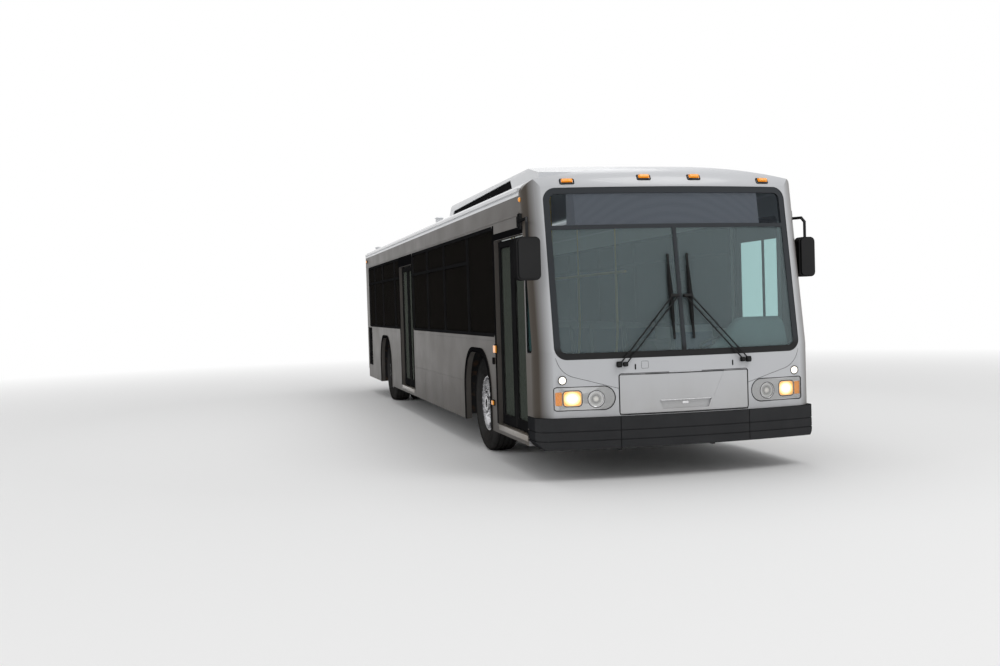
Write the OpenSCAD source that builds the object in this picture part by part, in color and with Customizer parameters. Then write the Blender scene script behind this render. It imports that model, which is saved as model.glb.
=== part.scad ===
// Airport passenger bus: a low-floor, two-door city bus of the 12 m class.
// +X is forward, +Y is the driver's side, -Y is the kerb side with the doors, Z = 0 is the ground.

/* [Body] */
// Length over the bumpers
body_length = 12200; // [11900:50:12600]
// Width over the side walls
body_width = 2590; // [2540:10:2640]
// Height of the skirt's lower edge above the ground
skirt_z = 280; // [260:5:300]
// Height at which the walls end and the roof's corner round begins
eaves_z = 2490; // [2480:5:2500]
// Height of the roof's crown
crown_z = 2730; // [2725:5:2760]
// Radius of the roof's corner round
eaves_round = 130; // [110:5:132]
// Thickness of the walls, roof and end caps
wall = 60; // [50:2:70]
// Height of the low floor's upper face
floor_z = 360; // [350:5:380]
// Thickness of the floor
floor_t = 30; // [20:2:36]
// Height of the raised floor over the rear axle
deck_z = 800; // [780:5:860]
// Height of the platform over the engine
platform_z = 1160; // [1140:5:1200]

/* [Front mask] */
// Radius of the front's bow in plan
bow_r = 6000; // [5400:100:6400]
// Plan radius of the front corners
corner_r = 220; // [190:5:240]
// Lean of the windscreen from upright, in degrees
rake = 9.2; // [7:0.2:11]
// Height at which the front begins to lean back
rake_z = 1120; // [1080:10:1140]
// Radius of the round between the windscreen and the roof
brow_r = 260; // [220:10:300]
// Distance of the mask's front behind the bumper's front, on the centre line
mask_setback = 20; // [10:5:50]
// Length of the mask's flank, back to the panel joint
mask_depth = 580; // [560:10:640]
// Lower edge of the windscreen opening
screen_low_z = 1040; // [1020:5:1060]
// Upper edge of the sign opening, which shares the screen's surround
screen_high_z = 2530; // [2500:5:2550]
// Width of the windscreen opening
screen_w = 2290; // [2240:10:2310]
// Corner radius of the windscreen opening
screen_corner = 110; // [80:5:140]
// Width of the black surround round the screens
surround_w = 55; // [40:5:70]
// Height of the bar between windscreen and sign
transom_z = 2180; // [2160:5:2240]
// Height of that bar
transom_h = 36; // [30:2:60]
// Width of the post between the windscreen's halves
divider_w = 34; // [26:2:44]
// Thickness of the window glass
glass_t = 8; // [6:1:10]

/* [Wheels] */
// Distance from the front axle to the rear axle
wheelbase = 7090; // [6950:10:7200]
// Distance from the bumper's front to the front axle
front_overhang = 2520; // [2480:10:2560]
// Outer diameter of a tyre
tyre_d = 990; // [960:2:1000]
// Width of a tyre
tyre_w = 290; // [270:2:300]
// Diameter of the rim
rim_d = 572; // [560:1:580]
// Distance of a tyre's outer face inside the side wall's face
wheel_inset = 70; // [60:5:90]
// Distance between the middles of twin tyres
twin_pitch = 334; // [324:2:344]
// Distance of the kingpin inside the front tyre's middle
kingpin_offset = 180; // [170:5:190]
// Diameter of the kingpin
kingpin_d = 44; // [40:1:50]
// Diameter of the wheel spindles
spindle_d = 90; // [80:1:96]
// Diameter of the circle of wheel studs
stud_circle_d = 285.75; // [270:0.05:300]
// Number of wheel studs
stud_count = 10; // [8:1:12]
// Half width of a wheel arch
arch_half = 610; // [600:5:630]
// Height of a wheel arch's top
arch_z = 1050; // [1040:5:1080]
// Corner radius of a wheel arch
arch_round = 430; // [400:10:460]
// Width of the rubber trim round an arch
arch_trim_w = 50; // [40:2:60]

/* [Doors] */
// Front edge of the front doorway behind the bumper's front
front_door_setback = 500; // [490:5:520]
// Width of the front doorway
front_door_w = 1090; // [1050:10:1110]
// Distance from the front axle back to the rear doorway's front edge
rear_door_back = 4180; // [4100:10:4250]
// Width of the rear doorway
rear_door_w = 1130; // [1100:10:1160]
// Height of the doorways' upper edge
door_top_z = 2150; // [2120:5:2170]
// Distance of a door leaf's face inside the wall's face
door_recess = 40; // [30:1:44]
// Thickness of a door leaf
leaf_t = 40; // [34:1:46]
// Gap between a leaf and the doorway
leaf_gap = 14; // [12:1:18]
// Width of a leaf's frame
leaf_frame = 60; // [50:2:70]
// Gap between the two leaves of a doorway
leaf_meet = 10; // [8:1:14]
// Distance of a leaf's pivot from its edge
leaf_pivot = 30; // [26:1:34]
// Height of a leaf's lower solid panel
kick_h = 90; // [70:5:120]

/* [Windows] */
// Lower edge of the window band
belt_z = 1215; // [1205:5:1230]
// Upper edge of the window band
band_top_z = 2300; // [2280:5:2310]
// Height of the bar below the small upper panes
vent_z = 1980; // [1960:5:2000]
// Width of a window unit's frame
frame_w = 36; // [30:2:44]
// Width of the post between window units
post_w = 56; // [44:2:80]
// Corner radius of the window band
band_round = 60; // [40:5:70]
// Number of window units on the driver's side
bays_left = 7; // [6:1:8]
// Length of the driver's window
driver_window = 950; // [900:10:1000]

/* [Bumpers and lamps] */
// Lower edge of the bumpers
bumper_low_z = 275; // [265:5:285]
// Upper edge of the front bumper
bumper_high_z = 545; // [535:5:555]
// Diameter of the towing eyes' bores
tow_bore = 50; // [40:1:60]
// Thickness of the bumpers
bumper_t = 80; // [60:5:90]
// Plan radius of the bumper's corners
bumper_corner = 130; // [110:5:150]
// Height of the headlamp clusters' middle
lamp_z = 709; // [700:1:715]
// Height of a headlamp cluster
lamp_h = 206; // [190:2:210]
// Distance from the centre line to a cluster's inner end
lamp_in_y = 632; // [620:2:640]
// Distance from the centre line to a cluster's outer end
lamp_out_y = 1160; // [1140:2:1170]

// Diameter of the round inner headlamps
round_lamp_d = 128; // [110:2:140]
// Width of the rectangular outer headlamps
square_lamp_w = 150; // [130:2:170]
// Height of the rectangular outer headlamps
square_lamp_h = 124; // [110:2:140]

/* [Panels and lids] */
// Width of the front access panel
access_w = 1194; // [1150:2:1200]
// Lower edge of the front access panel
access_low_z = 565; // [560:1:570]
// Upper edge of the front access panel
access_high_z = 905; // [895:1:920]
// Gap round the lids
lid_gap = 6; // [5:0.5:8]
// Thickness of the front access panel
access_t = 30; // [24:1:34]
// Width of the engine door
engine_door_w = 1700; // [1600:10:1760]
// Lower edge of the engine door
engine_door_low_z = 600; // [590:5:620]
// Upper edge of the engine door
engine_door_high_z = 1500; // [1460:5:1540]

// Length of the air grille behind the rear axle
grille_l = 540; // [480:10:600]
// Lower edge of the air grille
grille_low_z = 510; // [500:5:530]
// Upper edge of the air grille
grille_high_z = 1200; // [1150:5:1205]

/* [Roof fairing] */
// Length of the roof fairing along its top
fairing_length = 3900; // [3600:50:4100]
// Width of the roof fairing
fairing_w = 2000; // [1900:10:2060]
// Height of the fairing's top
fairing_z = 2880; // [2860:5:2900]
// Thickness of the fairing's shell
fairing_t = 20; // [16:1:26]

/* [Hidden] */
$fn = 96;

silver = [0.74, 0.75, 0.76];
white = [0.92, 0.93, 0.94];
black = [0.07, 0.07, 0.08];
charcoal = [0.16, 0.16, 0.17];
tinted = [0.20, 0.26, 0.27];
amber = [0.95, 0.55, 0.10];

half_l = body_length / 2;
half_w = body_width / 2;
inner_y = half_w - wall;
mask_x = half_l - mask_setback;
mask_back = mask_x - mask_depth;
rear_x = -half_l + 40;
rear_joint = rear_x + 200;
rear_corner_r = 160;
// How far a round stands into the face that it blends with, so that the two cross cleanly
blend = 1.5;
big_fn = 720;
seat_gap = 0.3;

front_axle_x = half_l - front_overhang;
rear_axle_x = front_axle_x - wheelbase;
hub_z = tyre_d / 2;
wheel_y = half_w - wheel_inset - tyre_w / 2;
twin_y = wheel_y - twin_pitch;
kingpin_y = wheel_y - kingpin_offset;

roof_edge_y = half_w - eaves_round;
roof_rise = crown_z - eaves_z - eaves_round;
roof_r = (pow(roof_edge_y, 2) + pow(roof_rise, 2)) / (2 * roof_rise);
// Height of the roof's face, or of a shell inside it, at a distance from the centre line
function roof_z(y, inset) = crown_z - roof_r + sqrt(pow(roof_r - inset, 2) - y * y);

front_door_fore = half_l - front_door_setback;
front_door_aft = front_door_fore - front_door_w;
rear_door_fore = front_axle_x - rear_door_back;
rear_door_aft = rear_door_fore - rear_door_w;
sill_z = floor_z + 5;

// Profiles laid in the YZ plane are drawn along X, and those in the XZ plane along Y.
module along_x(from, to) {
    translate([from, 0, 0]) rotate([90, 0, 90]) linear_extrude(to - from) children();
}
module along_y(from, to) {
    translate([0, to, 0]) rotate([90, 0, 0]) linear_extrude(to - from) children();
}
module box(from, to) {
    translate(from) cube(to - from);
}
module both_sides() {
    children();
    mirror([0, 1, 0]) children();
}
module round_rect(from, to, r) {
    translate([from[0], from[1] + r]) square([to[0] - from[0], to[1] - from[1] - 2 * r]);
    translate([from[0] + r, from[1]]) square([to[0] - from[0] - 2 * r, to[1] - from[1]]);
    for (a = [from[0] + r, to[0] - r], b = [from[1] + r, to[1] - r])
        translate([a, b]) circle(r);
}
// Arch outline in the XZ plane, open at the bottom.
module arch_outline(half, top, r, low) {
    translate([-half, low]) square([2 * half, top - r - low]);
    translate([-half + r, low]) square([2 * (half - r), top - low]);
    intersection() {
        for (side = [-1, 1])
            translate([side * (half - r), top - r]) circle(r);
        translate([-half, low]) square([2 * half, top - low]);
    }
}

// Cross-section of the body inside the outer face by the distance inset.
module body_section(inset) {
    intersection() {
        union() {
            translate([-half_w + inset, 0]) square([2 * (half_w - inset), eaves_z]);
            for (side = [-1, 1])
                translate([side * roof_edge_y, eaves_z]) circle(eaves_round - inset);
            translate([-roof_edge_y - 10, 0]) square([2 * roof_edge_y + 20, crown_z]);
        }
        translate([0, crown_z - roof_r]) circle(roof_r - inset, $fn = big_fn);
        translate([-half_w, 0]) square([body_width, crown_z]);
    }
}

// Plan outline that rounds the two corners of a bowed end, inside the outer face by inset.
module corner_plan(front, half, r, inset) {
    bow_x = front - bow_r;
    corner_x = bow_x + sqrt(pow(bow_r - r, 2) - pow(half - r, 2)) + blend;
    tangent_y = (half - r) * bow_r / (bow_r - r);
    translate([0, -half + inset]) square([corner_x, 2 * (half - inset)]);
    translate([0, -tangent_y]) square([front + 100, 2 * tangent_y]);
    for (side = [-1, 1])
        translate([corner_x, side * (half - r)]) circle(r - inset);
}

// Side profile of the front, as a radius from the bow's axis and a height.
module front_profile(inset) {
    lean = tan(rake);
    nose_r = bow_r - inset;
    top = crown_z - inset;
    round_r = brow_r - inset;
    round_z = crown_z - brow_r;
    round_x = bow_r - (round_z - rake_z) * lean - brow_r / cos(rake);
    intersection() {
        polygon([[bow_r - 1500, 0], [nose_r, 0], [nose_r, rake_z],
            [nose_r - (crown_z - rake_z) * lean, crown_z], [bow_r - 1500, crown_z]]);
        union() {
            translate([bow_r - 1500, 0]) square([1700, round_z + brow_r * sin(rake)]);
            translate([bow_r - 1500, 0]) square([round_x - bow_r + 1500, top]);
            translate([round_x + blend, round_z + blend]) circle(round_r);
        }
    }
}

// The mask's outer form, or its inner one with inset set to the thickness.
module mask_form(inset) {
    sweep = 30;
    intersection() {
        translate([mask_x - bow_r, 0, 0]) rotate([0, 0, -sweep / 2])
            rotate_extrude(angle = sweep, $fn = big_fn) front_profile(inset);
        linear_extrude(crown_z + 100) corner_plan(mask_x, half_w, corner_r, inset);
        translate([mask_x, 0, rake_z]) rotate([0, -rake, 0]) translate([-mask_x, 0, -rake_z - 400])
            linear_extrude(crown_z + 800) corner_plan(mask_x, half_w, corner_r, inset);
        along_x(mask_back - 100, mask_x + 100) body_section(inset);
    }
}
// The mask's form between the bumper and the windscreen, where it stands upright.
module low_form(inset) {
    low = bumper_high_z - 40;
    high = screen_low_z + 60;
    translate([0, 0, low]) intersection() {
        linear_extrude(high - low) corner_plan(mask_x, half_w, corner_r, inset);
        translate([mask_x - bow_r, 0, 0]) cylinder(r = bow_r - inset, h = high - low, $fn = big_fn);
    }
}
module low_skin(outer, inner) {
    intersection() {
        difference() {
            low_form(outer);
            low_form(inner);
        }
        along_x(mask_x - 460, mask_x + 50) children();
    }
}
// X of the mask's bowed face at a place on it, clear of the corners.
function face_x(y, z) = mask_x - bow_r + sqrt(pow(bow_r - max(0, z - rake_z) * tan(rake), 2) - y * y);
// A piece of the mask's skin between two depths, inside the outline given in the YZ plane.
module mask_skin(outer, inner) {
    intersection() {
        difference() {
            mask_form(outer);
            mask_form(inner);
        }
        along_x(mask_x - 460, mask_x + 50) children();
    }
}

// Puts children on the brow at a distance from the centre line and an angle up the round, X outwards.
module on_brow(y, angle) {
    round_z = crown_z - brow_r;
    round_x = bow_r - (round_z - rake_z) * tan(rake) - brow_r / cos(rake);
    translate([mask_x - bow_r, 0, 0]) rotate([0, 0, asin(y / bow_r)])
        translate([round_x + blend, 0, round_z + blend]) rotate([0, -angle, 0])
            translate([brow_r, 0, 0]) children();
}

module screen_outline(grow) {
    round_rect([-screen_w / 2 - grow, screen_low_z - grow], [screen_w / 2 + grow, screen_high_z + grow],
        screen_corner + grow);
}
module access_outline(grow) {
    round_rect([-access_w / 2 - grow, access_low_z - grow], [access_w / 2 + grow, access_high_z + grow],
        20 + grow);
}
// A headlamp cluster: round at its inner end and nearly square at its outer one.
module lamp_outline(grow) {
    low = lamp_z - lamp_h / 2 - grow;
    high = lamp_z + lamp_h / 2 + grow;
    both_outlines() {
        round_rect([lamp_in_y + lamp_h, low], [lamp_out_y + grow, high], 24);
        translate([lamp_in_y + lamp_h / 2, low]) square([lamp_h, high - low]);
        translate([lamp_in_y + lamp_h / 2, lamp_z]) circle(lamp_h / 2 + grow);
    }
}
// Lamps of a cluster as outlines in the YZ plane, each grown by the same distance.
module round_lamp_outline(grow) {
    both_outlines() translate([lamp_in_y + lamp_h / 2 + 62, lamp_z - 8]) circle(round_lamp_d / 2 + grow);
}
square_lamp_y = lamp_in_y + lamp_h / 2 + 190;
module square_lamp_outline(grow) {
    both_outlines() round_rect([square_lamp_y - grow, lamp_z - square_lamp_h / 2 - grow],
        [square_lamp_y + square_lamp_w + grow, lamp_z + square_lamp_h / 2 + grow], 30);
}
turn_lamp_y = square_lamp_y + square_lamp_w + 12;
turn_lamp_h = square_lamp_h - 8;
module turn_lamp_outline(grow) {
    both_outlines() round_rect([turn_lamp_y - grow, lamp_z - turn_lamp_h / 2 - grow],
        [lamp_out_y - 14 + grow, lamp_z + turn_lamp_h / 2 + grow], 10);
}
module both_outlines() {
    children();
    mirror([1, 0]) children();
}

// Doorways, as [rear edge, front edge] in X.
doorways = [[front_door_aft, front_door_fore], [rear_door_aft, rear_door_fore]];
module doorway_cuts() {
    for (d = doorways)
        box([d[0], -half_w - 10, sill_z], [d[1], -inner_y + 10, door_top_z]);
}

jamb = 60;
// Units of a window group from its rear end, as [share of its length, has an upper pane].
between_units = [[1.17, true], [1.15, true], [1.37, true], [1.24, false]];
behind_units = [[0.75, true], [1.07, true], [1.42, true], [0.50, true]];
left_units = [for (i = [1:bays_left]) [1, true]];
// Window groups, as [side, rear edge, front edge, units].
window_groups = [
    [-1, rear_door_fore + jamb, front_door_aft - jamb, between_units],
    [-1, rear_joint + 300, rear_door_aft - jamb, behind_units],
    [1, rear_joint + 300, mask_back - driver_window - 2 * jamb, left_units],
    [1, mask_back - driver_window - jamb, mask_back - jamb, [[1, false]]]
];
module group_outline(g, grow) {
    round_rect([g[1] + grow, belt_z + grow], [g[2] - grow, band_top_z - grow], band_round - grow);
}
function shares(g, count) = count == 0 ? 0 : g[3][count - 1][0] + shares(g, count - 1);
function glass_run(g, count) = (g[2] - g[1] - 2 * frame_w - (len(g[3]) - 1) * post_w)
    * shares(g, count) / shares(g, len(g[3]));
// The panes of a group, laid in the XZ plane.
module group_panes(g) {
    for (i = [0:len(g[3]) - 1]) {
        from = round(g[1] + frame_w + i * post_w + glass_run(g, i));
        to = round(g[1] + frame_w + i * post_w + glass_run(g, i + 1));
        split_z = g[3][i][1] ? vent_z : band_top_z - frame_w;
        round_rect([from, belt_z + frame_w], [to, split_z], 25);
        if (g[3][i][1])
            round_rect([from, vent_z + frame_w], [to, band_top_z - frame_w], 25);
    }
}
module on_side(side) {
    mirror([0, side < 0 ? 1 : 0, 0]) children();
}

module arch_cuts(grow) {
    for (x = [front_axle_x, rear_axle_x])
        translate([x, 0]) arch_outline(arch_half + grow, arch_z + grow, arch_round + grow, skirt_z - 10);
}

seam_w = 6;
seam_d = 4;
// Seams of the side panels, cut into the walls' faces: one along the skirt and one below the windows.
skirt_seam_z = 700;
belt_seam_z = belt_z - 40;
seams_behind = [rear_axle_x - arch_half - 130, rear_axle_x + arch_half + 120];
seams_between = [for (i = [0:2]) front_axle_x - arch_half - 160 - i * 1240];
module wall_seams() {
    out = half_w + 10;
    for (z = [skirt_seam_z, belt_seam_z])
        box([rear_joint - 10, half_w - seam_d, z], [mask_back + 10, out, z + seam_w]);
    for (x = concat(seams_behind, seams_between))
        box([x, half_w - seam_d, skirt_z - 10], [x + seam_w, out, skirt_seam_z]);
}
band_rail_z = band_top_z + 18;
// The bright rail over the windows.
module band_rail() {
    box([rear_joint, half_w - 1, band_rail_z], [mask_back, half_w + 8, band_rail_z + 22]);
}
module wall_left() {
    color(silver) difference() {
        along_y(inner_y, half_w) difference() {
            translate([rear_joint, skirt_z]) square([mask_back - rear_joint, eaves_z - skirt_z]);
            arch_cuts(0);
            for (g = window_groups)
                if (g[0] > 0) group_outline(g, 0);
        }
        wall_seams();
    }
    color(silver) band_rail();
}

module wall_right() {
    color(silver) difference() {
        along_y(-half_w, -inner_y) difference() {
            translate([rear_joint, skirt_z]) square([mask_back - rear_joint, eaves_z - skirt_z]);
            arch_cuts(0);
            for (g = window_groups)
                if (g[0] < 0) group_outline(g, 0);
            translate([rear_joint + grille_setback, grille_low_z])
                square([grille_l, grille_high_z - grille_low_z]);
        }
        doorway_cuts();
        mirror([0, 1, 0]) wall_seams();
    }
    color(silver) mirror([0, 1, 0]) band_rail();
}

rail_z = eaves_z + 40;
rail_out = 14;
hatch_x = rear_axle_x + 500;
hatch_l = 640;
hatch_w = 620;
coaming_h = 24;
// Small vent caps on the roof, as [X, Y, height].
vent_before_axle = 3370;
roof_vents = [[rear_axle_x + vent_before_axle, -950, 120], [rear_joint + 90, -1070, 64]];
vent_d = 100;
vent_lip = 17;
module roof() {
    color(white) {
        difference() {
            union() {
                along_x(rear_joint, mask_back) difference() {
                    body_section(0);
                    body_section(wall);
                    translate([-half_w - 10, 0]) square([body_width + 20, eaves_z]);
                }
                both_sides()
                    box([rear_joint, half_w - 30, rail_z], [mask_back, half_w + rail_out, rail_z + 26]);
                box([hatch_x - hatch_l / 2 + 20, -hatch_w / 2 + 20, crown_z - 30],
                    [hatch_x + hatch_l / 2 - 20, hatch_w / 2 - 20, crown_z + coaming_h]);
                for (v = roof_vents) translate([v[0], v[1], roof_z(v[1], 0) - wall / 2]) {
                    cylinder(d = vent_d, h = wall / 2 + v[2] - vent_lip + 1);
                    translate([0, 0, wall / 2 + v[2] - vent_lip])
                        cylinder(d1 = vent_d + 30, d2 = vent_d - 10, h = vent_lip);
                }
            }
            box([hatch_x - hatch_l / 2 + 50, -hatch_w / 2 + 50, crown_z - 150],
                [hatch_x + hatch_l / 2 - 50, hatch_w / 2 - 50, crown_z + 100]);
            along_x(rear_joint - 10, mask_back + 10) body_section(wall);
        }
    }
}

hatch_t = 30;
module roof_hatch() {
    color(white) difference() {
        box([hatch_x - hatch_l / 2, -hatch_w / 2, crown_z + coaming_h + seat_gap - 12],
            [hatch_x + hatch_l / 2, hatch_w / 2, crown_z + coaming_h + seat_gap + hatch_t]);
        box([hatch_x - hatch_l / 2 + 12, -hatch_w / 2 + 12, crown_z - 20],
            [hatch_x + hatch_l / 2 - 12, hatch_w / 2 - 12, crown_z + coaming_h + seat_gap]);
    }
}

module front_mask() {
    color(silver) difference() {
        mask_form(0);
        mask_form(wall);
        box([0, -half_w - 10, -10], [mask_x + 100, half_w + 10, skirt_z]);
        box([0, -half_w - 10, -10], [mask_back, half_w + 10, crown_z + 10]);
        along_x(mask_x - 460, mask_x + 50) {
            screen_outline(0);
            access_outline(lid_gap);
            lamp_outline(0);
        }
        bumper_space(2);
        doorway_cuts();
        along_y(-half_w - 20, -half_w + 300) quarter_outline(0);
        both_sides() translate([mask_x - 300, upper_lamp[0], upper_lamp[1]])
            rotate([0, 90, 0]) cylinder(d = upper_lamp_d + 2 * seat_gap, h = 400);
    }
}

bumper_half = half_w + 8;
module bumper_form(front, inset, low, high) {
    translate([0, 0, low]) intersection() {
        linear_extrude(high - low) corner_plan(front, bumper_half, bumper_corner, inset);
        translate([front - bow_r, 0, 0]) cylinder(r = bow_r - inset, h = high - low, $fn = big_fn);
    }
}
module bumper_space(gap) {
    difference() {
        box([mask_back + 130, -half_w - 50, 0], [half_l + 50, half_w + 50, bumper_high_z + gap]);
        bumper_form(half_l, bumper_t + gap, -10, bumper_high_z + 10);
    }
}

groove_z = [bumper_low_z + 70, bumper_low_z + 150];
groove_h = 10;
groove_d = 8;
bumper_joint_y = access_w / 2;
bevel = 60;
module front_bumper() {
    back = mask_back + 130;
    color(charcoal) difference() {
        intersection() {
            bumper_form(half_l, 0, bumper_low_z, bumper_high_z);
            along_x(back, half_l + 10) polygon([[-bumper_half, bumper_high_z],
                [-bumper_half, bumper_low_z + bevel], [-bumper_half + bevel, bumper_low_z],
                [bumper_half - bevel, bumper_low_z], [bumper_half, bumper_low_z + bevel],
                [bumper_half, bumper_high_z]]);
        }
        bumper_form(half_l, bumper_t, bumper_low_z - 10, bumper_high_z + 10);
        for (z = groove_z) difference() {
            box([back - 10, -half_w - 50, z], [half_l + 50, half_w + 50, z + groove_h]);
            bumper_form(half_l, groove_d, z - 5, z + groove_h + 5);
        }
        for (y = [-bumper_joint_y, bumper_joint_y]) difference() {
            box([mask_x - 200, y - 3, bumper_low_z - 10], [half_l + 50, y + 3, bumper_high_z + 10]);
            bumper_form(half_l, 2 * groove_d, bumper_low_z - 20, bumper_high_z + 20);
        }
    }
}

module rear_bumper() {
    color(charcoal) difference() {
        box([-half_l, -half_w + bevel, bumper_low_z + 130], [rear_x + 60, half_w - bevel, bumper_high_z]);
        box([rear_x - 0.01, -half_w + bevel - 1, 0], [rear_x + 61, half_w - bevel + 1, bumper_high_z + 1]);
    }
}

module rear_form(inset) {
    intersection() {
        along_x(rear_x + inset, rear_joint) body_section(inset);
        linear_extrude(crown_z + 10) union() {
            box2([rear_x + rear_corner_r, -half_w + inset], [rear_joint, half_w - inset]);
            box2([rear_x + inset, -half_w + rear_corner_r], [rear_joint, half_w - rear_corner_r]);
            for (side = [-1, 1])
                translate([rear_x + rear_corner_r, side * (half_w - rear_corner_r)])
                    circle(rear_corner_r - inset);
        }
    }
}
module box2(from, to) {
    translate(from) square(to - from);
}
rear_bevel_z = 430;
module rear_cap() {
    color(silver) difference() {
        rear_form(0);
        difference() {
            rear_form(wall);
            box([rear_x - 10, -half_w, 0], [rear_x, half_w, crown_z]);
        }
        box([rear_joint - 1, -inner_y, 0], [rear_joint + 10, inner_y, eaves_z]);
        box([rear_x - 10, -half_w - 10, -10], [rear_joint + 10, half_w + 10, rear_bevel_z]);
        along_x(rear_x - 10, rear_x + wall + 20) round_rect(
            [-engine_door_w / 2 - lid_gap, engine_door_low_z - lid_gap],
            [engine_door_w / 2 + lid_gap, engine_door_high_z + lid_gap], 30);
    }
}

louvre_count = 9;
module engine_door() {
    door_t = 40;
    rise = (engine_door_high_z - engine_door_low_z - 160) / louvre_count;
    color(silver) lid_hinge(rear_x + 0.5, engine_door_high_z + lid_gap / 2, engine_door_w / 2 - 60, -1);
    color(silver) difference() {
        along_x(rear_x, rear_x + door_t) round_rect([-engine_door_w / 2, engine_door_low_z],
            [engine_door_w / 2, engine_door_high_z], 24);
        for (i = [0:louvre_count - 1])
            translate([rear_x, 0, engine_door_low_z + 80 + i * rise]) rotate([0, -30, 0])
                translate([-20, -engine_door_w / 2 + 120, 10]) cube([120, engine_door_w - 240, rise * 0.4]);
    }
}

fairing_tail = front_axle_x - 2600;
fairing_nose = fairing_tail + fairing_length;
band_d = 12;
module roof_fairing() {
    color(white) difference() {
        fairing_form(fairing_tail, fairing_nose, 0);
        fairing_form(fairing_tail, fairing_nose, fairing_t);
        translate([fairing_tail - 500, 0, crown_z - roof_r]) rotate([0, 90, 0])
            cylinder(r = roof_r + seat_gap, h = fairing_length + 1500, $fn = big_fn);
        both_sides() along_y(fairing_w / 2 - band_d, fairing_w / 2 + 10) polygon([
            [fairing_tail + 120, crown_z - 30], [fairing_tail + 170, crown_z + 15],
            [fairing_nose - 800, fairing_z - 90], [fairing_nose - 740, crown_z - 30]]);
    }
}
module fairing_form(tail, nose, inset) {
    low = roof_z(fairing_w / 2 - fairing_t, 0);
    intersection() {
        along_y(-half_w, half_w) polygon([[tail - 150 + inset, low], [tail - 150 + inset, low + 12],
            [tail + inset, fairing_z - 60 - inset], [tail + 300, fairing_z - inset],
            [nose - 400, fairing_z - inset], [nose + 250 - inset, crown_z + 15 - inset],
            [nose + 250 - inset, low]]);
        along_x(tail - 200, nose + 300) intersection() {
            round_rect([-fairing_w / 2 + inset, low - 300],
                [fairing_w / 2 - inset, fairing_z - inset], 100 - inset);
            translate([0, fairing_z - 9000]) circle(9000 - inset, $fn = big_fn);
        }
    }
}

glass_depth = 12;
surround_d = 40;
module windscreen() {
    color(tinted) mask_skin(glass_depth, glass_depth + glass_t) difference() {
        screen_outline(-surround_w);
        translate([-divider_w / 2, 0]) square([divider_w, transom_z]);
        translate([-half_w, transom_z - transom_h / 2]) square([body_width, transom_h]);
    }
}
module screen_surround() {
    color(black) mask_skin(4, surround_d) difference() {
        screen_outline(-seat_gap);
        difference() {
            screen_outline(-surround_w);
            translate([-divider_w / 2, 0]) square([divider_w, transom_z]);
            translate([-half_w, transom_z - transom_h / 2]) square([body_width, transom_h]);
        }
    }
}

sign_half = 870;
module sign_box() {
    color(charcoal) intersection() {
        mask_form(surround_d + seat_gap);
        box([mask_back + 40, -sign_half, transom_z], [mask_x, sign_half, screen_high_z - 40]);
    }
}

pane_y = inner_y + 28;
module side_glass() {
    color(tinted) {
        for (g = window_groups)
            on_side(g[0]) along_y(pane_y, pane_y + glass_t) group_panes(g);
        flank_skin(glass_depth, glass_depth + glass_t) quarter_outline(quarter_frame);
    }
}
module window_frames() {
    color(black) {
        for (g = window_groups) on_side(g[0]) along_y(inner_y + 10, half_w - 6) difference() {
            group_outline(g, 0);
            group_panes(g);
        }
        flank_skin(4, surround_d) difference() {
            quarter_outline(seat_gap);
            quarter_outline(quarter_frame);
        }
    }
}

// The small fixed window between the front door and the mask's corner, laid in the XZ plane.
quarter_frame = 16;
quarter_low_z = 1100;
quarter_high_z = door_top_z - 20;
quarter_w = 170;
quarter_gap = 26;
quarter_round = 50;
module quarter_outline(inset) {
    rear = front_door_fore + quarter_gap + inset;
    low = quarter_low_z + inset;
    lean = tan(rake);
    front = front_door_fore + quarter_gap + quarter_w - inset;
    r = quarter_round - inset / 2;
    intersection() {
        polygon([[rear, low], [front, low],
            [front - (quarter_high_z - quarter_low_z) * lean, quarter_high_z - inset],
            [rear, quarter_high_z - inset]]);
        union() {
            translate([rear, low]) square([front - rear - r, quarter_high_z - low]);
            translate([rear, low + r]) square([front - rear, quarter_high_z - low]);
            translate([front - r, low + r]) circle(r);
        }
    }
}
// A piece of the mask's kerb-side flank between two depths, inside an outline in the XZ plane.
module flank_skin(outer, inner) {
    intersection() {
        difference() {
            mask_form(outer);
            mask_form(inner);
        }
        along_y(-half_w - 20, -half_w + 300) children();
    }
}

module arch_trims() {
    color(black) both_sides() along_y(half_w, half_w + 8) difference() {
        arch_cuts(arch_trim_w - 10);
        arch_cuts(-10);
        translate([-half_l, 0]) square([body_length, skirt_z]);
    }
}

upper_lamp = [1085, 868];
upper_lamp_d = 62;
module headlamps() {
    color([0.8, 0.8, 0.78]) {
        difference() {
            low_skin(4, 46) lamp_outline(-seat_gap);
            low_skin(-10, 34) {
                round_lamp_outline(0);
                square_lamp_outline(0);
                turn_lamp_outline(0);
            }
        }
        low_skin(14, 35) {
            round_lamp_outline(-seat_gap);
            square_lamp_outline(-seat_gap);
            turn_lamp_outline(-seat_gap);
        }
        both_sides() translate([face_x(upper_lamp[0], upper_lamp[1]) - 26, upper_lamp[0], upper_lamp[1]])
            rotate([0, 90, 0]) cylinder(d = upper_lamp_d, h = 32);
    }
}
// Tail lamps, as the height of each above the ground.
tail_lamp_z = [engine_door_low_z + 100, engine_door_low_z + 260, engine_door_low_z + 420, band_top_z];
tail_lamp_d = 110;
module tail_lamps() {
    color([0.7, 0.05, 0.05]) both_sides() for (z = tail_lamp_z)
        translate([rear_x - 8, half_w - rear_corner_r - 90, z]) rotate([0, 90, 0]) {
            cylinder(d = tail_lamp_d, h = 8 - seat_gap);
            translate([0, 0, -6]) cylinder(d = tail_lamp_d - 24, h = 7);
        }
}
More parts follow.
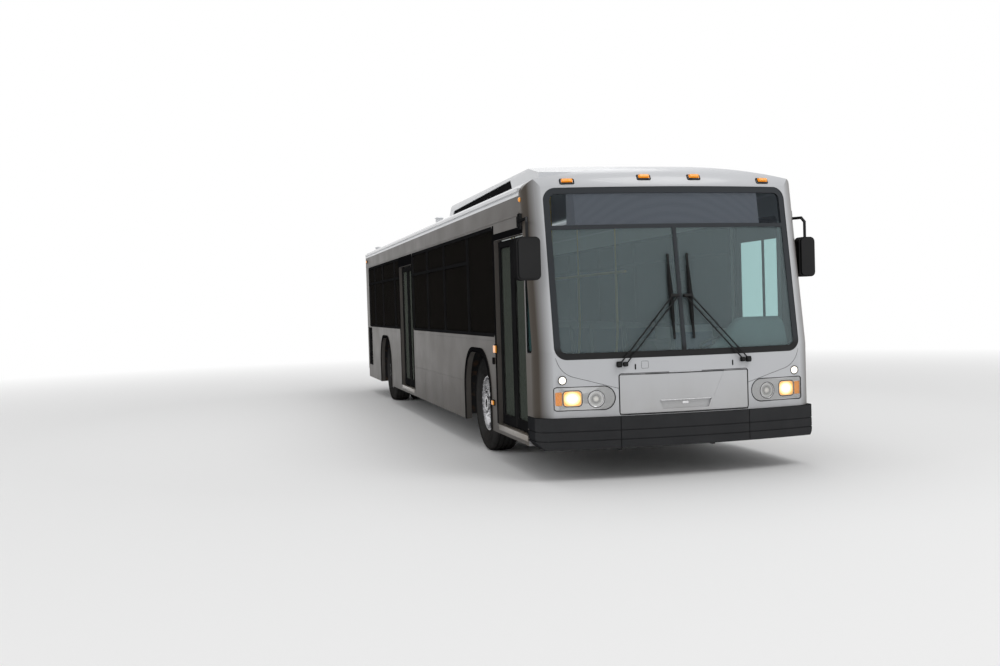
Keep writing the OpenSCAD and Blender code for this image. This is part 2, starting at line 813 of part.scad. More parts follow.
// Small lamps on the sides, as [side, X, height, length, height of the lens].
side_marker_x = front_axle_x + arch_half + 285;
side_lamps = [for (side = [-1, 1], lamp = [
    [side_marker_x, 1100, 90, 70], [side_marker_x - 155, 563, 60, 40], [rear_joint + 150, 2420, 70, 40]
]) concat([side], lamp)];
// Clearance lamps on the brow, as [distance from the centre line, angle up the brow's round].
brow_lamps = [[247, 33], [966, 26]];
module marker_lamps() {
    color(amber) {
        both_sides() for (lamp = brow_lamps) on_brow(lamp[0], lamp[1]) translate([seat_gap, 0, 0]) {
            translate([0, -50, -17]) cube([12, 100, 34]);
            translate([11, -42, -12]) cube([16, 84, 24]);
        }
        for (lamp = side_lamps) on_side(lamp[0]) translate([lamp[1], half_w, lamp[2]]) {
            translate([-lamp[3] / 2 - 8, seat_gap, -lamp[4] / 2 - 8]) cube([lamp[3] + 16, 8, lamp[4] + 16]);
            translate([-lamp[3] / 2, 7, -lamp[4] / 2]) cube([lamp[3], 14, lamp[4]]);
        }
    }
}

mirror_h = 366;
mirror_arm_z = 2255;
// A straight tube with a ball at each end, the step from which bent tubes are made.
module rod(from, to, d) {
    $fn = 24;
    way = to - from;
    flat = norm([way[0], way[1]]);
    translate(from) rotate([0, atan2(flat, way[2]), atan2(way[1], way[0])]) cylinder(d = d, h = norm(way));
    for (end = [from, to])
        translate(end) sphere(d = d + blend);
}
// Mirrors, as [side, distance behind the mask's front, distance outside the wall, width, middle height].
mirror_places = [[-1, 90, 65, 210, 1910], [1, 390, 90, 160, 1890]];
mirror_deep = 110;
mirror_corner = 45;
module mirror_head(wide, inset, deep) {
    rotate([90, 0, 90]) linear_extrude(deep)
        round_rect([-wide / 2 + inset, -mirror_h / 2 + inset], [wide / 2 - inset, mirror_h / 2 - inset],
            mirror_corner - inset);
}
module mirrors() {
    arm_d = 26;
    root_x = mask_back + 50;
    arm_lift = 40;
    color(black) for (m = mirror_places) on_side(m[0]) {
        x = mask_x - m[1];
        y = half_w + m[2];
        top = [x, y, mirror_arm_z];
        difference() {
            translate([x - mirror_deep / 2, y, m[4]]) union() {
                mirror_head(m[3], 0, mirror_deep - 20);
                mirror_head(m[3], 14, mirror_deep);
            }
            translate([x - mirror_deep / 2 - 1, y, m[4]]) mirror_head(m[3], 10, 9);
        }
        rod([x, y, m[4] + mirror_h / 2 - 20], top - [0, 0, arm_lift], arm_d);
        rod(top - [0, 0, arm_lift], top - [arm_lift, 10, 0], arm_d);
        rod(top - [arm_lift, 10, 0], [root_x, half_w + 20, mirror_arm_z], arm_d);
        box([root_x - 40, half_w + seat_gap, mirror_arm_z - 70], [root_x + 40, half_w + 20, mirror_arm_z + 70]);
        box([root_x - 20, half_w + 19, mirror_arm_z - 45], [root_x + 20, half_w + 34, mirror_arm_z + 45]);
    }
}

wiper_pivot = [600, 990];
wiper_joint = [90, 1560];
wiper_rod_pitch = 56;
wiper_blade = [1190, 1930];
wiper_lift = 34;
// A pantograph wiper: two rods that run side by side from the mask to the blade's carrier.
module wipers() {
    color(black) both_sides() {
        for (shift = [0, wiper_rod_pitch]) {
            base_y = wiper_pivot[0] - shift;
            end_y = wiper_joint[0] - shift;
            translate([face_x(base_y, 0), base_y, wiper_pivot[1]]) rotate([0, 0, asin(base_y / bow_r)])
                rotate([0, 90, 0]) translate([0, 0, seat_gap]) cylinder(d = 36, h = wiper_lift + 6);
            rod([face_x(base_y, 0) + wiper_lift, base_y, wiper_pivot[1]],
                [face_x(end_y, wiper_joint[1]) + wiper_lift, end_y, wiper_joint[1]], 12);
        }
        translate([face_x(wiper_joint[0], wiper_joint[1]), wiper_joint[0], wiper_joint[1]])
            rotate([0, -rake, 0]) box([3, -wiper_rod_pitch - 12, -12], [wiper_lift + 8, 12, 12]);
        translate([face_x(wiper_joint[0], wiper_blade[0]), wiper_joint[0], wiper_blade[0]])
            rotate([0, -rake, 0]) box([2, -9, 0], [18, 9, (wiper_blade[1] - wiper_blade[0]) / cos(rake)]);
    }
}

housing_gap = 50;
housing_t = 6;
housing_y = twin_y - tyre_w / 2 - 50;
// A wheel housing: an arched band across the wheels, closed inboard down to close_z.
module housing(x, low, close_z) {
    translate([x, 0, 0]) {
        along_y(housing_y, inner_y) difference() {
            arch_outline(arch_half + housing_gap, arch_z + housing_gap, arch_round, low);
            arch_outline(arch_half + housing_gap - housing_t, arch_z + housing_gap - housing_t,
                arch_round - housing_t, low - 1);
        }
        along_y(housing_y, housing_y + housing_t) intersection() {
            arch_outline(arch_half + housing_gap - 1, arch_z + housing_gap - 1, arch_round - 1, low);
            translate([-arch_half * 2, close_z]) square([arch_half * 4, arch_z]);
        }
    }
}
module wheel_housings() {
    color(charcoal) both_sides() {
        housing(front_axle_x, floor_z - floor_t, floor_z - floor_t);
        housing(rear_axle_x, skirt_z, deck_z - floor_t - 100);
    }
}

step_x = rear_door_aft - 420;
platform_x = rear_axle_x - arch_half - 140;
module floor() {
    color([0.35, 0.36, 0.38]) difference() {
        union() {
            box([step_x, -inner_y, floor_z - floor_t], [mask_back + 100, inner_y, floor_z]);
            box([mask_back, -half_w + corner_r - 25, floor_z - floor_t],
                [mask_x - 200, half_w - corner_r + 25, floor_z]);
            box([step_x, -inner_y, floor_z - floor_t], [step_x + floor_t, inner_y, deck_z]);
            box([platform_x, -inner_y, deck_z - floor_t], [step_x + floor_t, inner_y, deck_z]);
            box([platform_x, -inner_y, deck_z - floor_t], [platform_x + floor_t, inner_y, platform_z]);
            box([rear_joint, -inner_y, platform_z - floor_t], [platform_x + floor_t, inner_y, platform_z]);
            box([step_x + floor_t - 1, -300, floor_z - 1], [step_x + 300, 300, (floor_z + deck_z) / 2]);
        }
        both_sides() for (x = [front_axle_x, rear_axle_x])
            translate([x, 0, 0]) along_y(housing_y, inner_y + 1)
                arch_outline(arch_half + housing_gap, arch_z + housing_gap, arch_round, 100);
    }
}

rail_w = 60;
rail_h = 80;
rail_clearance = 71;
rail_y = housing_y - rail_clearance - rail_w;
low_rail_z = skirt_z + 5;
deck_rail_z = deck_z - floor_t - rail_h;
cross_pitch = 1150;
// Towing eyes, as [X, lower edge of the rail that carries them, height].
tow_eyes = [[mask_x - 500, low_rail_z, skirt_z - 30], [rear_x + 170, deck_rail_z, rear_bevel_z - 50]];
eye_half = 50;
eye_t = 30;
module underframe() {
    top = floor_z - floor_t;
    deck_top = deck_z - floor_t;
    front = mask_x - 260;
    color(charcoal) {
        both_sides() {
            box([step_x - rail_w, rail_y, low_rail_z], [front, rail_y + rail_w, top]);
            box([rear_joint - 80, rail_y, deck_rail_z], [step_x, rail_y + rail_w, deck_top]);
            box([step_x - rail_w, rail_y, low_rail_z], [step_x, rail_y + rail_w, deck_rail_z + 1]);
            for (e = tow_eyes) difference() {
                box([e[0] - eye_half, rail_y + (rail_w - eye_t) / 2, e[2] - eye_half],
                    [e[0] + eye_half, rail_y + (rail_w + eye_t) / 2, e[1] + 1]);
                translate([e[0], half_w, e[2]]) rotate([90, 0, 0]) cylinder(d = tow_bore, h = half_w);
            }
        }
        for (x = [step_x + 100:cross_pitch:mask_back])
            box([x, -rail_y - 1, low_rail_z], [x + rail_w, rail_y + 1, top]);
        for (x = [rear_joint + 20, rear_axle_x - 500, rear_axle_x + 500])
            box([x, -rail_y - 1, deck_rail_z], [x + rail_w, rail_y + 1, deck_top]);
    }
}

engine_low_z = 420;
engine_behind_axle = 900;
module engine() {
    color([0.4, 0.42, 0.44]) box([rear_joint + 120, -rail_y + seat_gap, engine_low_z],
        [rear_axle_x - engine_behind_axle, rail_y - seat_gap, platform_z - floor_t - 30]);
}

grille_setback = 60;
grille_rim = 20;
slat_pitch = 54;
module side_grille() {
    gap = seat_gap;
    slats = floor((grille_high_z - grille_low_z - 2 * grille_rim) / slat_pitch);
    color(charcoal) translate([rear_joint + grille_setback, 0, 0]) {
        along_y(-half_w + 10, -inner_y - 20) difference() {
            box2([gap, grille_low_z + gap], [grille_l - gap, grille_high_z - gap]);
            box2([grille_rim, grille_low_z + grille_rim], [grille_l - grille_rim, grille_high_z - grille_rim]);
        }
        for (i = [0:slats - 1])
            translate([grille_rim - 1, -half_w + 10, grille_low_z + grille_rim + 4 + i * slat_pitch])
                rotate([-35, 0, 0]) cube([grille_l - 2 * grille_rim + 2, 30, 5]);
    }
}

module front_axle() {
    beam_low = 190;
    beam_h = 85;
    beam_w = 110;
    drop_y = 640;
    boss_d = 110;
    boss_h = 110;
    color([0.25, 0.25, 0.26]) translate([front_axle_x, 0, 0]) difference() {
        union() {
            box([-beam_w / 2, -drop_y, beam_low], [beam_w / 2, drop_y, beam_low + beam_h]);
            both_sides() {
                box([-beam_w / 2, rail_y, beam_low + beam_h - 1],
                    [beam_w / 2, rail_y + rail_w, low_rail_z - seat_gap]);
                along_x(-beam_w / 2 + 10, beam_w / 2 - 10) polygon([[drop_y - 1, beam_low],
                    [kingpin_y - 75, hub_z - boss_h / 2], [kingpin_y - 10, hub_z - boss_h / 2],
                    [kingpin_y - 10, hub_z + boss_h / 2],
                    [kingpin_y - 60, hub_z + boss_h / 2], [drop_y - 60, beam_low + beam_h]]);
                translate([0, kingpin_y, hub_z - boss_h / 2]) cylinder(d = boss_d, h = boss_h);
            }
        }
        both_sides() translate([0, kingpin_y, 0]) cylinder(d = kingpin_d + 0.6, h = 1000);
    }
}

module knuckle(side) {
    fork_h = 60;
    boss_h = 110 + 10;
    color([0.3, 0.3, 0.31]) on_side(side) translate([front_axle_x, 0, 0]) {
        translate([0, kingpin_y, hub_z - boss_h / 2 - fork_h]) cylinder(d = kingpin_d, h = boss_h + 2 * fork_h);
        for (z = [hub_z - boss_h / 2 - fork_h, hub_z + boss_h / 2]) {
            translate([0, kingpin_y, z]) cylinder(d = 100, h = fork_h);
            box([-45, kingpin_y, z], [45, kingpin_y + 100, z + fork_h]);
        }
        box([-45, kingpin_y + 62, hub_z - boss_h / 2 - fork_h],
            [45, kingpin_y + 100, hub_z + boss_h / 2 + fork_h]);
        translate([0, kingpin_y + 99, hub_z]) rotate([-90, 0, 0]) cylinder(d = spindle_d, h = 170);
    }
}
module knuckle_left() { knuckle(1); }
module knuckle_right() { knuckle(-1); }

module rear_axle() {
    bellows_x = 380;
    bellows_d = 230;
    arm_z = hub_z + 70;
    arm_h = 40;
    color([0.25, 0.25, 0.26]) translate([rear_axle_x, 0, 0]) {
        translate([0, 0, hub_z]) rotate([90, 0, 0]) {
            translate([0, 0, -twin_y - 30]) cylinder(d = 150, h = 2 * twin_y + 60);
            translate([0, 0, -wheel_y - 40]) cylinder(d = spindle_d, h = 2 * wheel_y + 80);
            translate([0, 0, -150]) cylinder(d = 370, h = 300);
        }
        both_sides() {
            box([-bellows_x - 60, rail_y, arm_z], [bellows_x + 60, rail_y + rail_w, arm_z + arm_h]);
            box([-50, rail_y, hub_z], [50, rail_y + rail_w, arm_z + 1]);
            for (side = [-1, 1])
                translate([side * bellows_x, rail_y - 40, arm_z + arm_h - 1])
                    cylinder(d = bellows_d, h = deck_rail_z - arm_z - arm_h + 1 - seat_gap);
        }
    }
}

// Half of a tyre's section from the bead to the tread, as [radius, distance from the middle].
bead_half = tyre_w / 2 - 38;
tyre_half_section = [
    [rim_d / 2 + seat_gap, bead_half],
    [rim_d / 2 + 16, bead_half + 14],
    [rim_d / 2 + 62, tyre_w / 2 - 5],
    [rim_d / 2 + 112, tyre_w / 2],
    [tyre_d / 2 - 46, tyre_w / 2 - 8],
    [tyre_d / 2 - 14, tyre_w / 2 - 24],
    [tyre_d / 2, tyre_w / 2 - 44]
];
module tyre_ring(y) {
    count = len(tyre_half_section);
    translate([0, y, 0]) rotate([90, 0, 0]) rotate_extrude()
        polygon(concat(tyre_half_section,
            [for (i = [count - 1:-1:0]) [tyre_half_section[i][0], -tyre_half_section[i][1]]]));
}
module tyre_front(side) {
    color([0.06, 0.06, 0.06]) on_side(side) translate([front_axle_x, 0, hub_z]) tyre_ring(wheel_y);
}
module tyre_front_left() { tyre_front(1); }
module tyre_front_right() { tyre_front(-1); }
module tyres_rear(side) {
    color([0.06, 0.06, 0.06]) on_side(side) translate([rear_axle_x, 0, hub_z]) {
        tyre_ring(wheel_y);
        tyre_ring(twin_y);
    }
}
module tyres_rear_left() { tyres_rear(1); }
module tyres_rear_right() { tyres_rear(-1); }

// A wheel as a section from the rim to the hub, with web the distance of its face outside the rim's
// middle, and hub the hub's reach past the web. Both run outwards on the driver's side.
rim_t = 12;
flange_t = 12;
nut_d = 34;
nut_l = 26;
hand_hole_d = 56;
disc_t = 14;
module disc(y, web, hub, nuts) {
    rim_r = rim_d / 2;
    barrel = 2 * bead_half - 4;
    stud_r = stud_circle_d / 2;
    pad_r = stud_r + 34;
    dish = 40 * sign(web);
    translate([0, y, 0]) rotate([-90, 0, 0]) {
        difference() {
            rotate_extrude() {
                box2([rim_r - rim_t, -barrel / 2], [rim_r, barrel / 2]);
                for (end = [-1, 1])
                    polygon([[rim_r - rim_t, end * barrel / 2], [rim_r - rim_t, end * (barrel / 2 - flange_t)],
                        [rim_r - 1, end * (barrel / 2 - flange_t)], [rim_r - 1, end * (barrel / 2 + 1)]]);
                polygon([[rim_r - rim_t + 1, web - dish], [rim_r - rim_t + 1, web - dish + disc_t],
                    [pad_r + 20, web + disc_t / 2], [pad_r, web + disc_t / 2],
                    [spindle_d / 2 + seat_gap, web + disc_t / 2], [spindle_d / 2 + seat_gap, web - disc_t / 2],
                    [pad_r + 16, web - disc_t / 2]]);
            }
            for (i = [0:stud_count - 1]) rotate([0, 0, (i + 0.5) * 360 / stud_count])
                translate([(rim_r - rim_t + pad_r + 20) / 2, 0, web - 80]) cylinder(d = hand_hole_d, h = 160);
        }
        rotate_extrude() {
            polygon([[spindle_d / 2 + seat_gap, web], [stud_r - 36, web], [stud_r - 36, web + hub * 0.35],
                [stud_r - 60, web + hub * 0.5], [stud_r - 66, web + hub],
                [spindle_d / 2 + seat_gap, web + hub]]);
        }
        if (nuts) for (i = [0:stud_count - 1]) rotate([0, 0, i * 360 / stud_count])
            translate([stud_r, 0, web + disc_t / 2 - 1]) {
                cylinder(d = nut_d, h = nut_l, $fn = 6);
                cylinder(d = nut_d * 0.6, h = nut_l + 14, $fn = 24);
            }
    }
}
module disc_front(side) {
    color([0.8, 0.81, 0.82]) on_side(side) translate([front_axle_x, 0, hub_z]) disc(wheel_y, 62, 62, true);
}
module disc_front_left() { disc_front(1); }
module disc_front_right() { disc_front(-1); }
module discs_rear(side) {
    color([0.8, 0.81, 0.82]) on_side(side) translate([rear_axle_x, 0, hub_z]) {
        disc(wheel_y, -70, 120, true);
        disc(twin_y, 70, 20, false);
    }
}
module discs_rear_left() { discs_rear(1); }
module discs_rear_right() { discs_rear(-1); }

// One door leaf between two X places, in its closed place, with its handrail inside.
leaf_rail_d = 30;
leaf_rail_off = 46;
leaf_rail_z = [1250, 900];
module leaf(from, to, slope) {
    face = half_w - door_recess;
    low = sill_z + leaf_gap;
    high = door_top_z - leaf_gap;
    bar_y = -face + leaf_t + leaf_rail_off;
    bar_end = leaf_frame - 4;
    bar_from = [from + bar_end, bar_y, leaf_rail_z[slope > 0 ? 1 : 0]];
    bar_to = [to - bar_end, bar_y, leaf_rail_z[slope > 0 ? 0 : 1]];
    color(black) along_y(-face, -face + leaf_t) difference() {
        box2([from, low], [to, high]);
        round_rect([from + leaf_frame, low + kick_h], [to - leaf_frame, high - leaf_frame], 30);
    }
    color(tinted) along_y(-face + leaf_t / 2 - glass_t / 2, -face + leaf_t / 2 + glass_t / 2)
        round_rect([from + leaf_frame - 1, low + kick_h - 1], [to - leaf_frame + 1, high - leaf_frame + 1], 30);
    color([0.85, 0.7, 0.1]) {
        rod(bar_from, bar_to, leaf_rail_d);
        for (end = [bar_from, bar_to])
            rod(end - [0, leaf_rail_off + 2, 0], end, leaf_rail_d * 0.7);
    }
}
// Pivot pins of a leaf, from the sill to the doorway's head.
module leaf_pins(x) {
    color(black) for (z = [[sill_z + seat_gap, sill_z + leaf_gap + 1],
        [door_top_z - leaf_gap - 1, door_top_z - seat_gap]])
        translate([x, -half_w + door_recess + leaf_t / 2, z[0]]) cylinder(d = 24, h = z[1] - z[0]);
}
function door_middle(d) = (d[0] + d[1]) / 2;
module fore_leaf(d) {
    leaf(door_middle(d) + leaf_meet / 2, d[1] - leaf_gap, -1);
    leaf_pins(d[1] - leaf_gap - leaf_pivot);
}
module aft_leaf(d) {
    leaf(d[0] + leaf_gap, door_middle(d) - leaf_meet / 2, 1);
    leaf_pins(d[0] + leaf_gap + leaf_pivot);
}
module front_leaf_fore() { fore_leaf(doorways[0]); }
module front_leaf_aft() { aft_leaf(doorways[0]); }
module rear_leaf_fore() { fore_leaf(doorways[1]); }
module rear_leaf_aft() { aft_leaf(doorways[1]); }

hinge_d = 5.4;
// A hinge barrel along Y in the gap over a lid, with the strip that joins it to the lid.
module lid_hinge(x, z, half, side) {
    translate([x, half, z]) rotate([90, 0, 0]) cylinder(d = hinge_d, h = 2 * half);
    box([min(x, x - side * 2), -half, z - lid_gap], [max(x, x - side * 2), half, z]);
}
handle_w = 484;
handle_low_z = 592;
handle_high_z = 666;
module access_panel() {
    color(silver) {
        difference() {
            low_skin(0, access_t) access_outline(0);
            low_skin(-1, 2) polygon([[-370, access_high_z + 1], [-handle_w / 2 - 20, handle_high_z + 12],
                [handle_w / 2 + 20, handle_high_z + 12], [370, access_high_z + 1]]);
            low_skin(-1, access_t - 8) polygon([[-handle_w / 2, handle_high_z],
                [-handle_w / 2 + 30, handle_low_z], [handle_w / 2 - 30, handle_low_z],
                [handle_w / 2, handle_high_z]]);
        }
        lid_hinge(mask_x - 0.5, access_high_z + lid_gap / 2, 150, 1);
    }
}

// The dashboard's rear edge, clear of the open door leaf's handrail.
leaf_swing_x = front_door_fore - leaf_gap - leaf_pivot + leaf_t / 2 + leaf_rail_off + leaf_rail_d / 2;
dash_back = leaf_swing_x + 20;
module dashboard() {
    color([0.12, 0.12, 0.13]) intersection() {
        mask_form(wall + seat_gap);
        difference() {
            along_y(-inner_y, inner_y) polygon([[dash_back + 40, floor_z + 300], [mask_x - 100, floor_z + 300],
                [mask_x - 100, 1010], [dash_back + 120, 1080], [dash_back, 960]]);
            box([0, -half_w, 0], [mask_x, 0, 900]);
        }
    }
}
driver_y = 620;
wheel_rim_r = 225;
column_back = 60;
column_z = 1120;
module steering_wheel() {
    color(black) translate([mask_back + column_back, driver_y, column_z]) rotate([0, -20, 0]) {
        rotate_extrude($fn = 64) translate([wheel_rim_r, 0]) circle(d = 28, $fn = 10);
        for (a = [0:120:240])
            rotate([0, 0, a]) translate([0, -12, -8]) cube([wheel_rim_r, 24, 12]);
        translate([0, 0, -140]) cylinder(d = 60, h = 145);
        translate([0, 0, -12]) cylinder(d = 110, h = 20);
    }
    color(black) translate([mask_back + column_back + 30, driver_y, floor_z + seat_gap])
        cylinder(d = 60, h = column_z - floor_z - 110);
}

// A bench from its side profile: a moulded shell with a crowned cushion, on a leg.
seat_h = 430;
seat_back_h = 940;
seat_deep = 420;
module seat_profile() {
    translate([-seat_deep / 2, seat_h - 60]) square([seat_deep - 40, 60]);
    translate([seat_deep / 2 - 40, seat_h - 30]) circle(30);
    polygon([[-seat_deep / 2 - 10, seat_h - 60], [-seat_deep / 2 + 60, seat_h - 60],
        [-seat_deep / 2 + 30, seat_h + 80],
        [-seat_deep / 2 - 30, seat_back_h - 40], [-seat_deep / 2 - 95, seat_back_h - 40]]);
    translate([-seat_deep / 2 - 62, seat_back_h - 42]) circle(33);
}
module seat(x, y, z, wide) {
    translate([x, y, z]) {
        along_y(-wide / 2, wide / 2) seat_profile();
        box([-70, -40, 0], [50, 40, seat_h - 59]);
    }
}
// Rows of benches, as [X, floor height, sides, width].
row_pitch = 780;
bench_w = 860;
bench_y = inner_y - bench_w / 2 - 15;
first_row_x = front_axle_x - arch_half - 340;
row_clear = 380;
seat_rows = concat(
    [for (x = [first_row_x:-row_pitch:step_x + row_clear]) [x, floor_z, [1], bench_w]],
    [for (x = [first_row_x:-row_pitch:rear_door_fore + row_clear]) [x, floor_z, [-1], bench_w]],
    [for (x = [platform_x - row_clear:-row_pitch:rear_joint + row_clear]) [x, platform_z, [-1, 1], bench_w]]);
driver_seat_w = 460;
driver_seat_back = 420;
module seats() {
    color([0.15, 0.25, 0.40]) {
        seat(mask_back - driver_seat_back, driver_y, floor_z, driver_seat_w);
        for (row = seat_rows, side = row[2])
            seat(row[0], side * bench_y, row[1], row[3]);
    }
}
grab_d = 34;
grab_y = 700;
module grab_rails() {
    color([0.85, 0.7, 0.1]) for (x = [front_door_aft - 60, rear_door_fore + 60, rear_door_aft - 60])
        translate([x, -grab_y, floor_z])
            cylinder(d = grab_d, h = roof_z(grab_y + grab_d / 2, wall) - seat_gap - floor_z);
}

underframe();
floor();
wheel_housings();
wall_left();
wall_right();
roof();
front_mask();
rear_cap();
roof_fairing();
windscreen();
screen_surround();
sign_box();
side_glass();
window_frames();
front_bumper();
rear_bumper();
headlamps();
tail_lamps();
marker_lamps();
arch_trims();
mirrors();
wipers();
dashboard();
steering_wheel();
seats();
grab_rails();
engine();
side_grille();
front_axle();
rear_axle();
knuckle_left();
knuckle_right();
tyre_front_left();
tyre_front_right();
disc_front_left();
disc_front_right();
tyres_rear_left();
tyres_rear_right();
discs_rear_left();
discs_rear_right();
front_leaf_fore();
front_leaf_aft();
rear_leaf_fore();
rear_leaf_aft();
access_panel();
engine_door();
roof_hatch();
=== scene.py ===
import math

import bmesh
import bpy
from mathutils import Matrix, Vector


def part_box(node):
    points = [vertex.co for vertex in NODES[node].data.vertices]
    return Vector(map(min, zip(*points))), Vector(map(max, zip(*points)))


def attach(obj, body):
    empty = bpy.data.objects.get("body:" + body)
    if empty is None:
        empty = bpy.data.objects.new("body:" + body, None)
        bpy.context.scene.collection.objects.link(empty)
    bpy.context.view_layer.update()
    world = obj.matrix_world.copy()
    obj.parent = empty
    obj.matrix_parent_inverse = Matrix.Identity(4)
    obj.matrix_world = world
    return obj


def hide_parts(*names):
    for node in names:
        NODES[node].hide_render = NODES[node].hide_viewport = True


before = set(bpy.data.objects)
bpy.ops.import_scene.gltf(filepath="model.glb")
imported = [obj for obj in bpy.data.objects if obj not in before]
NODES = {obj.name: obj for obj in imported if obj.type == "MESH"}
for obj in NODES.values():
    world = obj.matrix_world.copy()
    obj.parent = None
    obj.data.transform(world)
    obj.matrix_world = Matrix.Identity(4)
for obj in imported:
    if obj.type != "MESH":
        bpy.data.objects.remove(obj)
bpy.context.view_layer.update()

# Places taken from the frame, in metres
MASK_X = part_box("front_mask")[1].x
TYRE_LOW, TYRE_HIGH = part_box("tyre_front_left")
TYRE_R = (TYRE_HIGH.z - TYRE_LOW.z) / 2
HUB_Z = (TYRE_LOW.z + TYRE_HIGH.z) / 2
WHEEL_Y = (TYRE_LOW.y + TYRE_HIGH.y) / 2
FRONT_AXLE_X = (TYRE_LOW.x + TYRE_HIGH.x) / 2
REAR_AXLE_X = sum(corner.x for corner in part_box("tyres_rear_left")) / 2

# Half the body's width and the front mask's form, as in the part's source
HALF_W = 1.295
BOW_R = 6.0
RAKE = math.radians(9.2)
RAKE_Z = 1.12
CORNER_R = 0.22
MASK_TOP_Z = 2.73
BROW_R = 0.26
BROW_Z = MASK_TOP_Z - BROW_R
BROW_REACH = BOW_R - (BROW_Z - RAKE_Z) * math.tan(RAKE) - BROW_R / math.cos(RAKE)


def mask_face(y, z):
    """X of the mask's face at a place on it: the bow or the brow, or the round corner beside them."""
    lean = max(0.0, z - RAKE_Z) * math.tan(RAKE)
    if z > BROW_Z + BROW_R * math.sin(RAKE):
        lean = BOW_R - BROW_REACH - math.sqrt(max(0.0, BROW_R**2 - (z - BROW_Z) ** 2))
    corner_y = HALF_W - CORNER_R
    if abs(y) <= corner_y * BOW_R / (BOW_R - CORNER_R):
        return MASK_X - BOW_R + math.sqrt((BOW_R - lean) ** 2 - y * y)
    corner_x = MASK_X - BOW_R + math.sqrt((BOW_R - CORNER_R) ** 2 - corner_y**2)
    reach = math.sqrt(max(0.0, CORNER_R**2 - (abs(y) - corner_y) ** 2))
    return corner_x + reach - lean


# Shapes


class Shape:
    """A mesh put together from boxes, tubes, lofts and turned sections, made into one piece."""

    def __init__(self):
        self.work = bmesh.new()

    def loft(self, rings, closed=True, caps=True):
        """Joins rings of points that follow each other; closed joins each ring's end to its start."""
        made = [[self.work.verts.new(point) for point in ring] for ring in rings]
        count = len(made[0])
        for a, b in zip(made, made[1:]):
            for i in range(count if closed else count - 1):
                j = (i + 1) % count
                self.work.faces.new((a[i], a[j], b[j], b[i]))
        if caps:
            self.work.faces.new(made[0][::-1])
            self.work.faces.new(made[-1])

    def box(self, low, high, bevel, steps=2):
        low, high = Vector(low), Vector(high)
        made = bmesh.ops.create_cube(self.work, size=1.0)["verts"]
        for vertex in made:
            vertex.co = low + Vector(c * (d + 0.5) for c, d in zip(high - low, vertex.co))
        edges = list({edge for vertex in made for edge in vertex.link_edges})
        bmesh.ops.bevel(self.work, geom=edges, offset=bevel, segments=steps, profile=0.5, affect="EDGES")

    def tube(self, points, radius, sides):
        points = [Vector(point) for point in points]
        ways = [(b - a).normalized() for a, b in zip(points, points[1:])]
        ways = [ways[0]] + [(a + b).normalized() for a, b in zip(ways, ways[1:])] + [ways[-1]]
        side = ways[0].orthogonal().normalized()
        rings = []
        for point, way in zip(points, ways):
            side = (side - way * side.dot(way)).normalized()
            other = way.cross(side)
            turns = [2 * math.pi * i / sides for i in range(sides)]
            rings.append([point + radius * (math.cos(t) * side + math.sin(t) * other) for t in turns])
        self.loft(rings)

    def turned(self, section, centre, steps, closed=True, radius=None):
        """Turns a section of (radius, y) points about Y through centre; radius(r, y, i) may alter it."""
        rings = []
        for i in range(steps):
            angle = 2 * math.pi * i / steps
            ring = []
            for r, y in section:
                r = radius(r, y, i) if radius else r
                ring.append((centre[0] + r * math.sin(angle), centre[1] + y, centre[2] + r * math.cos(angle)))
            rings.append(ring)
        self.loft(rings + rings[:1], closed=closed, caps=False)
        bmesh.ops.remove_doubles(self.work, verts=self.work.verts, dist=0.00002)

    def prism(self, outline, low, high):
        """Draws an outline of (x, z) points out along Y from low to high."""
        self.loft([[(x, y, z) for x, z in outline] for y in (low, high)])

    def make(self, name, material, body, slot, replaced=(), sharp=0.6, both=False):
        """Ends the shape as one piece that rides on a body; both adds its mirror image in Y."""
        work = self.work
        if both:
            copy = bmesh.ops.duplicate(work, geom=work.verts[:] + work.edges[:] + work.faces[:])["geom"]
            for item in copy:
                if isinstance(item, bmesh.types.BMVert):
                    item.co.y = -item.co.y
        bmesh.ops.recalc_face_normals(work, faces=work.faces)
        for face in work.faces:
            face.smooth = True
        for edge in work.edges:
            edge.smooth = edge.calc_face_angle(0.0) < sharp
        mesh = bpy.data.meshes.new(name)
        work.to_mesh(mesh)
        work.free()
        mesh.materials.append(material)
        piece = placed(name, mesh)
        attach(piece, body)
        if replaced:
            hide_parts(*replaced)
        return piece


def placed(name, data):
    """A new object in the scene."""
    obj = bpy.data.objects.new(name, data)
    bpy.context.scene.collection.objects.link(obj)
    return obj


def arc(centre, radius, start, end, steps):
    """Points on a circle in two axes, angles in degrees."""
    turns = [math.radians(start + (end - start) * i / steps) for i in range(steps + 1)]
    return [(centre[0] + radius * math.cos(t), centre[1] + radius * math.sin(t)) for t in turns]


def rounded(low, high, radius, steps=4):
    """A rectangle with round corners, as points in two axes."""
    corners = [(high[0] - radius, high[1] - radius, 0), (low[0] + radius, high[1] - radius, 90),
               (low[0] + radius, low[1] + radius, 180), (high[0] - radius, low[1] + radius, 270)]
    return [point for x, y, start in corners for point in arc((x, y), radius, start, start + 90, steps)]


def looped(outline):
    """The outline with its first point once more at its end, for a tube."""
    return outline + outline[:1]


# Materials


